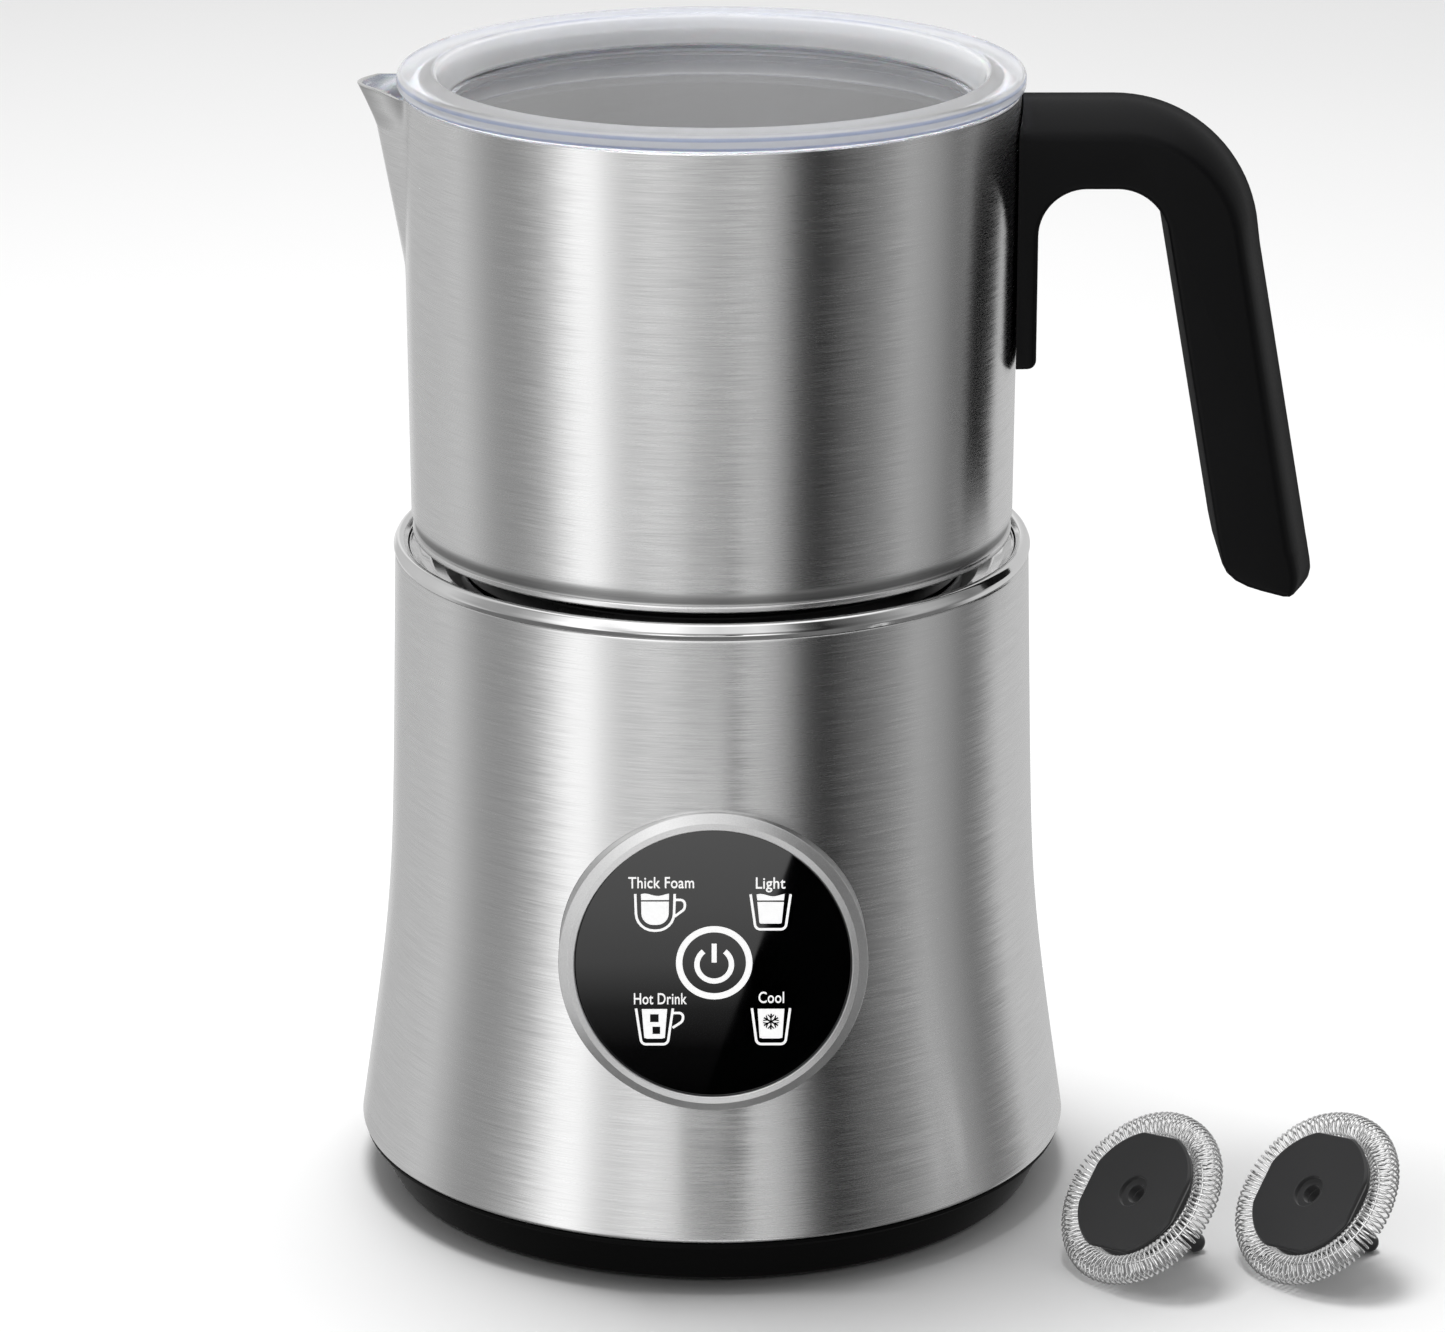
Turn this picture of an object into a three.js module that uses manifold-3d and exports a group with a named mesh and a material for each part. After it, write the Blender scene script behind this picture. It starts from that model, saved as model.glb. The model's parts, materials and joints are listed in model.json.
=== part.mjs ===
// A countertop milk frother: a lift-off steel jug with a clear lid on an induction base with a
// round touch panel, and three magnetic whisks, one on the jug's spindle and two lying beside it.
// Millimetres, +Z up. The origin is the middle of the base's underside, on the table. The handle
// points to +X, the spout to -X and the touch panel faces -Y.

import * as THREE from "three";
import { mergeVertices } from "three/addons/utils/BufferGeometryUtils.js";
import Module from "manifold-3d";

const wasm = await Module();
wasm.setup();

// ---------------------------------------------------------------- driving dimensions

const GAP = 0.3; // clearance between pieces that touch
const ROUND = 36; // facets round the large shells
const ROUND_SMALL = 16; // facets round small turned pieces
const DEGREE = Math.PI / 180;

// Base shell: radius = top radius + a slight taper + a flare that starts near FLARE_Z
const SHELL_TOP_Z = 114.4;
const SHELL_BOTTOM_Z = 9.2;
const SHELL_TOP_R = 55.28;
const SHELL_TAPER = 0.0236;
const FLARE_SLOPE = 0.126;
const FLARE_Z = 50.8;
const FLARE_BLEND = 8.1;
const SHELL_WALL = 1;

// Base underside
const FOOT_CLEARANCE = 0.5; // the pan's height over the table
const PAN_BOTTOM_R = 57.6;
const PAN_TOP_R = 61.5;
const COVER_R = 50.3;
const COVER_TOP_Z = 4.1;
const RUBBER_R = 6;
const RUBBER_RING_R = 42;
const CENTRE_FOOT_R = 10;
const RUBBER_TOP_Z = 1.8;
const COVER_SCREW_RING_R = 34;

// Seat, tray and rim at the top of the base
const RIM_R = 55.35;
const RIM_TOP_Z = 117.1;
const TRAY_Z = 111.8;
const SEAT_R = 43.8;
const SEAT_TOP_Z = 115.2;
const SEAT_BOTTOM_Z = 112.1;

// Touch panel, on an axis tilted up from -Y
const PANEL_Z = 58.8;
const PANEL_FRONT_Y = -59.7;
const PANEL_TILT = 4 * DEGREE;
const BEZEL_R = 26;
const GLASS_R = 23.3;

// Works inside the base
const FRAME_R = 43;
const FRAME_WALL = 2.4;
const FRAME_TOP_Z = 100;
const CARRIER_Z = FRAME_TOP_Z + GAP;
const COIL_TOP_Z = 110.3;
const ROTOR_R = 11.8;
const ROTOR_TOP_Z = 111;
const MAGNET_RING_R = 7.2;
const SENSOR_X = 18.2;
const BOARD_Z = 26;
const GLAND_Z = 24;
const GLAND_R = 5.5;
const CORD_HOLE_R = 3.5;

// Jug
const JUG_FLOOR_Z = 118.1;
const JUG_RIM_Z = 196;
const JUG_BASE_R = 52.3;
const JUG_RIM_R = 52.8;
const JUG_WALL = 0.8;
const SPOUT_REACH = 7.6; // how far the lip stands out from the wall
const SPOUT_RISE = 0.6; // how far its tip rises over the rim
const SPOUT_START_Z = 164.5;
const SPOUT_SLOPE = 0.175;
const SPOUT_FLARE_Z = 189.5;
const SPOUT_ANGLE = 13.2 * DEGREE; // half the angle that the lip takes at the rim
const SPOUT_NOSE = 0.28; // roundness of its tip, as a share of that angle

// Lid
const LID_R = 53.6;
const LID_TOP_Z = 199.3;
const LID_UNDERSIDE_Z = 196.4;
const LID_WELL_R = 45.3;
const LID_WELL_Z = 193.6;

// Handle, a bend in the XZ plane
const HANDLE_HALF = 11; // half its width
const ARM_TOP_Z = 194.6;
const GRIP_LEAN = 10.2 * DEGREE; // how far the grip leans out from the vertical
const BEND_X = 68.7;
const TONGUE_X = 55.5;
const TONGUE_BOTTOM_Z = 148.8;

// Whisks, measured from the middle plane of the coil along the stem
const COIL_RING_R = 13.9;
const COIL_WIRE_R = 2.6;
const DISC_R = 11;
const STEM_R = 1.75;
const WHISK_BORE_R = 1.7;
const LEAN_FACE = new THREE.Vector3(-0.62, -0.39, 0.68).normalize(); // where a lying whisk's disc faces
const LEAN_COS = Math.sqrt(1 - LEAN_FACE.z * LEAN_FACE.z);
const LYING_Z = COIL_WIRE_R + COIL_RING_R * LEAN_COS; // height of the coil's centre on the table
const STEM_LENGTH = (LYING_Z - STEM_R) / LEAN_FACE.z; // it rests on its coil and its stem's tip
const WHISK_IN_JUG_Z = 123.5;
const LOOSE_WHISKS = { loose_whisk_a: [73.5, -51.6], loose_whisk_b: [103.6, -51.8] };

// ---------------------------------------------------------------- materials

function finish(color, roughness, metalness, opacity = 1) {
  return new THREE.MeshStandardMaterial({
    color,
    roughness,
    metalness,
    opacity,
    transparent: opacity < 1,
  });
}

const brushedSteel = finish(0xb9babc, 0.35, 1);
const polishedSteel = finish(0xd6d7d9, 0.12, 1);
const satinAluminium = finish(0xc4c6c8, 0.4, 1);
const blackGlass = finish(0x08090b, 0.05, 0);
const clearPlastic = finish(0xe4e8f2, 0.05, 0, 0.3);
const silicone = finish(0xe9ebee, 0.5, 0, 0.8);
const satinBlack = finish(0x101011, 0.38, 0);
const mattBlack = finish(0x151516, 0.6, 0);
const rubber = finish(0x1b1b1c, 0.85, 0);
const wireSteel = finish(0xc9cacc, 0.2, 1);
const copper = finish(0xb06a3c, 0.35, 1);
const ferrite = finish(0x2e2c2c, 0.7, 0);
const boardGreen = finish(0x1f5a38, 0.5, 0);
const magnetNickel = finish(0xa9abae, 0.25, 1);
const zincSteel = finish(0xa6a8aa, 0.4, 1);

// ---------------------------------------------------------------- shape helpers

const root = new THREE.Group();

function add(name, geometry, material, parent = root) {
  const mesh = new THREE.Mesh(geometry, material);
  mesh.name = name;
  parent.add(mesh);
  return mesh;
}

// Turned about Z. The profile holds [radius, z] pairs, anticlockwise in that plane.
function turned(profile, segments = ROUND) {
  const points = profile.map(([r, z]) => new THREE.Vector2(r, z));
  return new THREE.LatheGeometry(points, segments).rotateX(Math.PI / 2);
}

function ring(inner, outer, z0, z1, segments = ROUND) {
  return turned([[inner, z0], [outer, z0], [outer, z1], [inner, z1], [inner, z0]], segments);
}

function disc(radius, z0, z1, segments = ROUND_SMALL) {
  return turned([[0, z0], [radius, z0], [radius, z1], [0, z1]], segments);
}

function block(x0, x1, y0, y1, z0, z1) {
  const box = new THREE.BoxGeometry(x1 - x0, y1 - y0, z1 - z0);
  return box.translate((x0 + x1) / 2, (y0 + y1) / 2, (z0 + z1) / 2);
}

// A Z-axis shape laid along +Y, about the given x and z
function alongY(geometry, x, z) {
  return geometry.rotateX(-Math.PI / 2).translate(x, 0, z);
}

function toSolid(geometry) {
  const bare = geometry.clone();
  bare.deleteAttribute("normal");
  bare.deleteAttribute("uv");
  const merged = mergeVertices(bare, 1e-4);
  const corners = merged.index.array;
  const triangles = [];
  for (let i = 0; i < corners.length; i += 3) {
    const [a, b, c] = corners.slice(i, i + 3);
    if (a !== b && b !== c && c !== a) {
      triangles.push(a, b, c);
    }
  }
  return new wasm.Manifold(new wasm.Mesh({
    numProp: 3,
    vertProperties: merged.attributes.position.array,
    triVerts: Uint32Array.from(triangles),
  }));
}

function toGeometry(solid) {
  const mesh = solid.getMesh();
  const geometry = new THREE.BufferGeometry();
  geometry.setAttribute("position", new THREE.BufferAttribute(mesh.vertProperties, 3));
  geometry.setIndex(new THREE.BufferAttribute(mesh.triVerts, 1));
  return geometry;
}

function joined(first, ...others) {
  return toGeometry(others.reduce((sum, next) => sum.add(toSolid(next)), toSolid(first)));
}

function cut(first, ...cutters) {
  return toGeometry(cutters.reduce((rest, next) => rest.subtract(toSolid(next)), toSolid(first)));
}

// Positions round a circle, the first at the start angle
function aroundCircle(count, radius, start = 0) {
  return Array.from({ length: count }, (_, i) => {
    const angle = start + (i * 2 * Math.PI) / count;
    return [radius * Math.cos(angle), radius * Math.sin(angle), angle];
  });
}

// Closed surface through rings of points, each ring anticlockwise seen from the last one's side
function loft(rings) {
  const count = rings[0].length;
  const points = rings.flat();
  const index = [];
  for (let i = 0; i + 1 < rings.length; i += 1) {
    for (let j = 0; j < count; j += 1) {
      const a = i * count + j;
      const b = i * count + ((j + 1) % count);
      index.push(a, b, b + count, a, b + count, a + count);
    }
  }
  const last = (rings.length - 1) * count;
  for (let j = 1; j + 1 < count; j += 1) {
    index.push(0, j + 1, j, last, last + j, last + j + 1);
  }
  const geometry = new THREE.BufferGeometry();
  geometry.setAttribute("position", new THREE.Float32BufferAttribute(points.flat(), 3));
  geometry.setIndex(index);
  return geometry;
}

// ---------------------------------------------------------------- base: shell and underside

function shellRadius(z) {
  const flare = FLARE_SLOPE * FLARE_BLEND * Math.log(1 + Math.exp((FLARE_Z - z) / FLARE_BLEND));
  return SHELL_TOP_R + SHELL_TAPER * (SHELL_TOP_Z - z) + flare;
}

// Axis of the touch panel: local +Z becomes the outward normal
function panelPlace(object) {
  object.rotation.x = Math.PI / 2 - PANEL_TILT;
  object.position.set(0, PANEL_FRONT_Y, PANEL_Z);
  object.updateMatrix();
  return object;
}

function baseShell() {
  const outer = [10.6, 27, 42, 56, 74, SHELL_TOP_Z].map((z) => [shellRadius(z), z]);
  const inner = [SHELL_TOP_Z, 56, 35, 10.6].map((z) => [shellRadius(z) - SHELL_WALL, z]);
  const hem = [[61.9, 9.5], [62.4, SHELL_BOTTOM_Z], [63, 9.6]];
  const body = turned([hem[0], hem[1], hem[2], ...outer, ...inner, hem[0]]);
  const panelHole = disc(BEZEL_R + GAP, -30, 10, 32).applyMatrix4(panelPlace(new THREE.Object3D()).matrix);
  const cordHole = alongY(disc(GLAND_R + GAP, 50, 70), 0, GLAND_Z);
  return cut(body, panelHole, cordHole);
}

function basePan() {
  return turned([
    [COVER_R + GAP, FOOT_CLEARANCE], [PAN_BOTTOM_R - 0.9, FOOT_CLEARANCE], [PAN_BOTTOM_R, 1.3],
    [PAN_TOP_R - 0.3, 8.6], [PAN_TOP_R, 9.1], [PAN_TOP_R - 1.1, 16], [PAN_TOP_R - 3, 16],
    [PAN_TOP_R - 3, 9.3], [54, 4.1], [COVER_R + GAP, 4.1], [COVER_R + GAP, FOOT_CLEARANCE],
  ]);
}

const rubberPlaces = aroundCircle(4, RUBBER_RING_R, 45 * DEGREE);
const screwPlaces = aroundCircle(4, COVER_SCREW_RING_R);

function bottomCover() {
  const cutters = [disc(CENTRE_FOOT_R + GAP, 0, RUBBER_TOP_Z + GAP, 24)];
  for (const [x, y] of rubberPlaces) {
    cutters.push(disc(RUBBER_R + GAP, 0, RUBBER_TOP_Z + GAP).translate(x, y, 0));
  }
  for (const [x, y] of screwPlaces) {
    cutters.push(disc(3.5, 0, 2.7, 12).translate(x, y, 0));
    cutters.push(disc(1.8, 0, 6, 8).translate(x, y, 0));
  }
  for (const [x, y, angle] of aroundCircle(8, 23, 22.5 * DEGREE)) {
    cutters.push(block(-5, 5, -1.2, 1.2, 0, 6).rotateZ(angle).translate(x, y, 0));
  }
  return cut(disc(COVER_R, 0.9, COVER_TOP_Z, ROUND), ...cutters);
}

function rubberFoot(radius, segments) {
  const profile = [[0, 0], [radius - 0.6, 0], [radius, 0.6], [radius, RUBBER_TOP_Z], [0, RUBBER_TOP_Z]];
  return turned(profile, segments);
}

function coverScrew() {
  return turned([[0, 1.2], [2.8, 1.2], [3.2, 1.5], [3.2, 2.4], [1.5, 2.4], [1.5, 11.5], [0, 12.2]], 8);
}

// ---------------------------------------------------------------- base: rim, tray and seat

function rimRing() {
  return turned([
    [53, 110], [54, 110], [54, SHELL_TOP_Z + GAP], [RIM_R - 0.1, SHELL_TOP_Z + GAP], [RIM_R, 115.6],
    [RIM_R - 0.2, 116.7], [54.6, RIM_TOP_Z], [53.7, 116.8], [53, 116.1], [53, 110],
  ]);
}

function seatTray() {
  const wall = 0.8;
  const top = [[46.5, TRAY_Z], [49, 112.6], [51, 114.1], [52.6, 115.9]];
  const under = top.map(([r, z]) => [r, z - wall]);
  return turned([[42.2, TRAY_Z - wall], ...under, ...top.reverse(), [42.2, TRAY_Z], [42.2, TRAY_Z - wall]]);
}

function jugSeat() {
  const plate = turned([
    [0, SEAT_BOTTOM_Z], [SEAT_R, SEAT_BOTTOM_Z], [SEAT_R, SEAT_TOP_Z - 0.6], [SEAT_R - 0.6, SEAT_TOP_Z],
    [0, SEAT_TOP_Z],
  ]);
  return cut(plate, disc(2.5, 110, 118, 16).translate(SENSOR_X, 0, 0));
}

// ---------------------------------------------------------------- base: touch panel

// Profiles in the panel's own frame: z is the depth behind (-) the bezel's front plane
function controlBezel() {
  return turned([
    [22, -13.8], [28, -13.8], [28, -12.2], [BEZEL_R, -12.2], [BEZEL_R, -0.8],
    [25.1, 0], [24.2, -0.1], [GLASS_R + GAP, -0.9], [GLASS_R + GAP, -3.1], [22, -3.1], [22, -13.8],
  ], 32);
}

function controlGlass() {
  return turned([[0, -2.8], [GLASS_R, -2.8], [GLASS_R, -0.9], [GLASS_R - 0.25, -0.65], [0, -0.65]], 32);
}

// ---------------------------------------------------------------- base: works

function innerFrame() {
  const bore = FRAME_R - FRAME_WALL;
  const tube = turned([
    [30, 4.4], [50, 4.4], [50, 6.6], [FRAME_R, 6.6], [FRAME_R, FRAME_TOP_Z], [bore, FRAME_TOP_Z],
    [bore, 95.3], [bore - 2.4, 95.3], [bore - 2.4, 93.3], [bore, 91], [bore, 6.6], [30, 6.6], [30, 4.4],
  ], 24);
  const posts = [[24, 20], [-24, 20], [24, -20], [-24, -20]];
  const standoffs = posts.map(([x, y]) => disc(2.4, 5, BOARD_Z - GAP, 8).translate(x, y, 0));
  const bosses = screwPlaces.map(([x, y]) => disc(3.6, 5, 14, 10).translate(x, y, 0));
  const holes = screwPlaces.map(([x, y]) => disc(1.8, 0, 12.8, 8).translate(x, y, 0));
  const windows = [block(-11, 11, -60, 60, 40, 78), block(-60, 60, -11, 11, 40, 78)];
  return cut(joined(tube, ...standoffs, ...bosses), ...holes, ...windows);
}

function motorCan() {
  const can = turned([
    [0, 58.5], [4, 58.5], [4, 61], [15, 61], [15, 92], [14, 93], [5, 93], [5, 95.2], [0, 95.2],
  ], 18);
  return cut(can, disc(1.8, 86, 100, 12));
}

function motorBracket() {
  const plate = disc(FRAME_R - FRAME_WALL - 0.8, 95.6, 97.6, 24);
  const cutters = [disc(5, 90, 100, 12)];
  for (const [x, y] of aroundCircle(3, 26, Math.PI / 3)) {
    cutters.push(disc(9, 90, 100, 12).translate(x, y, 0));
  }
  return cut(plate, ...cutters);
}

function coilCarrier() {
  return turned([
    [13.2, CARRIER_Z], [FRAME_R + 0.5, CARRIER_Z], [FRAME_R + 0.5, CARRIER_Z + 2.2],
    [41.4, CARRIER_Z + 2.2], [41.4, 110.5], [40, 110.5], [40, CARRIER_Z + 2.2],
    [14.4, CARRIER_Z + 2.2], [14.4, 110.5], [13.2, 110.5],
    [13.2, CARRIER_Z],
  ], 24);
}

function magnetCarrier() {
  const body = turned([
    [0, 99.2], [3.6, 99.2], [3.6, 104.5], [ROTOR_R - 0.6, 104.5], [ROTOR_R, 105.1], [ROTOR_R, ROTOR_TOP_Z],
    [0, ROTOR_TOP_Z],
  ], 18);
  const magnets = aroundCircle(2, MAGNET_RING_R);
  const pockets = magnets.map(([x, y]) => disc(3.3, 106.8, 120, 12).translate(x, y, 0));
  return cut(body, disc(1.8, 90, 108.6, 10), ...pockets);
}

function heatSink() {
  const fins = Array.from({ length: 6 }, (_, i) => -15 + i * 6);
  const plates = fins.map((x) => block(x - 0.7, x + 0.7, -21, -9, 28.5, 42));
  return joined(block(-16, 16, -21, -9, 28, 30), ...plates);
}

function sensorPlunger() {
  return turned([
    [0, 104.6], [0.9, 104.6], [0.9, 109.5], [2.8, 109.5], [2.8, 110.6], [2.1, 110.6],
    [2.1, SEAT_TOP_Z - 0.4],
    [1.7, SEAT_TOP_Z], [0, SEAT_TOP_Z],
  ], 12);
}

// A coil spring: a round wire swept along a helix
class Helix extends THREE.Curve {
  constructor(radius, z0, z1, turns) {
    super();
    Object.assign(this, { radius, z0, z1, turns });
  }

  getPoint(t, target = new THREE.Vector3()) {
    const angle = t * this.turns * 2 * Math.PI;
    const z = this.z0 + t * (this.z1 - this.z0);
    return target.set(this.radius * Math.cos(angle), this.radius * Math.sin(angle), z);
  }
}

function sensorSpring() {
  const wire = new THREE.Shape();
  wire.absarc(0, 0, 0.3, 0, 2 * Math.PI);
  const path = new Helix(1.9, 103.4, 108.8, 3.5);
  const options = { steps: 32, curveSegments: 3, bevelEnabled: false, extrudePath: path };
  return new THREE.ExtrudeGeometry(wire, options);
}

function cordGland() {
  const face = shellRadius(GLAND_Z - 6.8) + GAP;
  const profile = [
    [CORD_HOLE_R, 54], [7.2, 54], [7.2, 55.6], [GLAND_R, 55.6], [GLAND_R, face], [6.8, face],
    [6.8, face + 1], [6, face + 1.8], [CORD_HOLE_R, face + 1.8], [CORD_HOLE_R, 54],
  ];
  return alongY(turned(profile, ROUND_SMALL), 0, GLAND_Z);
}

function cordClamp() {
  const channel = alongY(disc(CORD_HOLE_R + 0.2, 40, 60, 16), 0, GLAND_Z);
  return cut(block(-8, 8, 45, 51, GLAND_Z - 6, GLAND_Z + 6), channel);
}

// ---------------------------------------------------------------- jug

// How far the spout stands out of the wall at height z, straight over its tip
function spoutReach(z) {
  const slope = SPOUT_SLOPE * Math.max(0, z - SPOUT_START_Z);
  const flare = Math.max(0, (z - SPOUT_FLARE_Z) / (JUG_RIM_Z - SPOUT_FLARE_Z));
  const straight = SPOUT_SLOPE * (JUG_RIM_Z - SPOUT_START_Z);
  return slope + (SPOUT_REACH - straight) * flare ** 1.2;
}

// 1 over the spout's tip, falling to 0 at its edges, with a rounded nose
function spoutShare(angleFromTip, z) {
  const spread = SPOUT_ANGLE * (0.45 + 0.55 * Math.min(1, Math.max(0, (z - SPOUT_START_Z) / 28)));
  const share = (1 - Math.hypot(angleFromTip / spread, SPOUT_NOSE)) / (1 - SPOUT_NOSE);
  return Math.max(0, share);
}

function wallRadius(z) {
  return JUG_BASE_R + ((JUG_RIM_R - JUG_BASE_R) * (z - JUG_FLOOR_Z)) / (JUG_RIM_Z - JUG_FLOOR_Z);
}

// The jug is one surface: each ring of points is a circle pushed out where the spout is
function jugShell() {
  const spoutAngles = [-1, -0.6, -0.25, 0, 0.25, 0.6, 1].map((s) => Math.PI + s * SPOUT_ANGLE);
  const restCount = 32;
  const restStep = (2 * Math.PI - 2 * SPOUT_ANGLE) / restCount;
  const rest = Array.from({ length: restCount - 1 }, (_, i) => Math.PI + SPOUT_ANGLE + (i + 1) * restStep);
  const angles = [...spoutAngles, ...rest];

  function ringAt(z, inset) {
    return angles.map((angle) => {
      const fromTip = Math.abs(angle - Math.PI);
      const share = fromTip < SPOUT_ANGLE + 0.01 ? spoutShare(fromTip, z) : 0;
      const r = wallRadius(z) - inset + share * spoutReach(z);
      const lift = Math.max(0, (z - SPOUT_FLARE_Z) / (JUG_RIM_Z - SPOUT_FLARE_Z));
      return [r * Math.cos(angle), r * Math.sin(angle), z + SPOUT_RISE * share * share * lift];
    });
  }

  const wallHeights = [SPOUT_START_Z, 177, SPOUT_FLARE_Z, 193, JUG_RIM_Z - 0.4];
  const outer = [
    ringAt(JUG_FLOOR_Z, 9), ringAt(JUG_FLOOR_Z, 1.4), ringAt(JUG_FLOOR_Z + 0.4, 0.5),
    ringAt(JUG_FLOOR_Z + 1.4, 0), ...wallHeights.map((z) => ringAt(z, 0)), ringAt(JUG_RIM_Z, 0.3),
  ];
  const inner = [
    ringAt(JUG_RIM_Z, JUG_WALL - 0.3), ...wallHeights.reverse().map((z) => ringAt(z, JUG_WALL)),
    ringAt(JUG_FLOOR_Z + 2.6, JUG_WALL), ringAt(JUG_FLOOR_Z + JUG_WALL, 3),
    ringAt(JUG_FLOOR_Z + JUG_WALL, 9),
  ];
  return loft([...outer, ...inner]);
}

function jugBaseDisc() {
  return turned([
    [0, SEAT_TOP_Z + GAP], [42.6, SEAT_TOP_Z + GAP], [43.2, SEAT_TOP_Z + 0.9], [43.2, JUG_FLOOR_Z - GAP],
    [0, JUG_FLOOR_Z - GAP],
  ]);
}

function whiskSpindle() {
  const floor = JUG_FLOOR_Z + JUG_WALL + GAP;
  const foot = [[0, floor], [5, floor], [4.6, floor + 1], [1.4, floor + 1.2]];
  return turned([...foot, [1.4, 124], [1, 124.4], [0, 124.4]], 14);
}

// ---------------------------------------------------------------- handle

// Each section runs from the inner edge (inner) to the flat side's outer edge (edge), and its
// outer face swells from there to the middle line (crown).
function handleSection({ inner, edge, crown }) {
  const across = [1, 0.7, 0.35, 0, -0.35, -0.7, -1];
  const back = across.map((s) => {
    const swell = 1 - s * s;
    const x = edge[0] + (crown[0] - edge[0]) * swell;
    const z = edge[1] + (crown[1] - edge[1]) * swell;
    return [x, s * HANDLE_HALF, z];
  });
  return [...back, [inner[0], -HANDLE_HALF, inner[1]], [inner[0], HANDLE_HALF, inner[1]]];
}

function handleSections() {
  const crownBend = { z: ARM_TOP_Z - 25.3, r: 25.3 };
  const edgeBend = { z: 168.4, r: 21.2 };
  const innerBend = { z: 171.3, r: 9 };
  const onBend = ({ z, r }, turn) => [BEND_X + r * Math.sin(turn), z + r * Math.cos(turn)];
  const bendEnd = Math.PI / 2 - GRIP_LEAN;
  const down = ([x, z], length) => [x + length * Math.sin(GRIP_LEAN), z - length * Math.cos(GRIP_LEAN)];
  const sections = [48, 58].map((x) => ({ inner: [x, 180.3], edge: [x, 189.6], crown: [x, ARM_TOP_Z] }));
  for (let i = 0; i <= 7; i += 1) {
    const turn = (bendEnd * i) / 7;
    sections.push({
      inner: onBend(innerBend, turn),
      edge: onBend(edgeBend, turn),
      crown: onBend(crownBend, turn),
    });
  }
  const { inner, edge, crown } = sections[sections.length - 1];
  sections.push({ inner: down(inner, 28), edge: down(edge, 28), crown: down(crown, 29) });
  sections.push({ inner: down(inner, 57), edge: down(edge, 57), crown: down(crown, 59) });
  sections.push(
    { inner: [88.6, 113.3], edge: [100.6, 113.2], crown: [104.9, 112.6] },
    { inner: [91.2, 110.7], edge: [100.9, 110.8], crown: [104.7, 110.2] },
    { inner: [95.2, 109], edge: [100.8, 109], crown: [103.4, 108.5] },
    { inner: [98.8, 108.1], edge: [100.4, 108], crown: [101.8, 107.7] },
  );
  return sections;
}

// The foot of the handle, flat against the jug, with a rounded arch up to the arm's underside
function handleTongue() {
  const archR = 8.2;
  const outline = new THREE.Shape();
  outline.moveTo(46, 190);
  outline.lineTo(46, TONGUE_BOTTOM_Z);
  outline.lineTo(TONGUE_X - 1.4, TONGUE_BOTTOM_Z);
  outline.absarc(TONGUE_X - 1.4, TONGUE_BOTTOM_Z + 1.4, 1.4, -Math.PI / 2, 0);
  outline.absarc(TONGUE_X + archR, 172.1, archR, Math.PI, Math.PI / 2, true);
  outline.lineTo(TONGUE_X + archR, 185);
  outline.lineTo(TONGUE_X + 1, 185);
  outline.lineTo(TONGUE_X, 188);
  const width = 2 * HANDLE_HALF - 0.02;
  const options = { depth: width, curveSegments: 6, bevelEnabled: false };
  return new THREE.ExtrudeGeometry(outline, options).rotateX(Math.PI / 2).translate(0, width / 2, 0);
}

const handleScrewHeights = [158, 168];

function handleScrewPlace(geometry, z) {
  return geometry.rotateY(Math.PI / 2).translate(0, 0, z);
}

function handleGrip() {
  const pocket = block(50, 54.3, -7.3, 7.3, 151.7, 178.3);
  const sunkHole = [[0, 50], [1.6, 50], [1.6, 54.4], [2.9, 55.7], [2.9, 60], [0, 60]];
  const screwHoles = handleScrewHeights.map((z) => handleScrewPlace(turned(sunkHole, 12), z));
  const jugWall = disc(JUG_RIM_R + GAP + 0.05, 100, 210, 72);
  const body = joined(loft(handleSections().map(handleSection)), handleTongue());
  return cut(body, jugWall, pocket, ...screwHoles);
}

function handleBracket() {
  const holes = handleScrewHeights.map((z) => handleScrewPlace(disc(1.5, 50, 60, 12), z));
  return cut(block(53.1, 54, -7, 7, 152, 178), ...holes);
}

// Its sunk head lies just under the tongue's surface
function handleScrew(z) {
  const profile = [[0, 53.3], [1.2, 53.3], [1.2, 54.4], [2.1, 55.3], [0, 55.3]];
  return handleScrewPlace(turned(profile, 10), z);
}

// ---------------------------------------------------------------- lid

function lidCover() {
  return turned([
    [0, 191.6], [48, 191.6], [48, 188.8], [50.8, 188.8], [50.8, 189.8], [49.6, 190.2],
    [49.6, LID_UNDERSIDE_Z], [LID_R - 0.7, LID_UNDERSIDE_Z], [LID_R, 197.2], [LID_R, 198.4],
    [LID_R - 0.9, LID_TOP_Z], [47.7, LID_TOP_Z],
    [46.6, 198.5], [LID_WELL_R, 194.2], [LID_WELL_R - 0.7, LID_WELL_Z], [0, LID_WELL_Z],
  ]);
}

function lidSeal() {
  return turned([
    [49.95, 190.6], [50.6, 190.6], [51.5, 191.6], [50.6, 193.2], [51.5, 194.8], [50.6, 196], [49.95, 196],
    [49.95, 190.6],
  ]);
}

// ---------------------------------------------------------------- whisks

// Local frame: the coil's middle plane is z = 0 and the stem points to +Z
function whiskCoil() {
  const circle = Array.from({ length: 8 }, (_, i) => {
    const angle = (i * 2 * Math.PI) / 7;
    return [COIL_RING_R + COIL_WIRE_R * Math.cos(angle), COIL_WIRE_R * Math.sin(angle)];
  });
  return turned(circle, 24);
}

function whiskDisc() {
  return turned([
    [WHISK_BORE_R, -2.6], [DISC_R - 0.8, -2.6], [DISC_R, -1.8], [DISC_R, -0.7], [DISC_R - 0.6, -0.2],
    [WHISK_BORE_R, -0.2], [WHISK_BORE_R, -2.6],
  ], 18);
}

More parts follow.
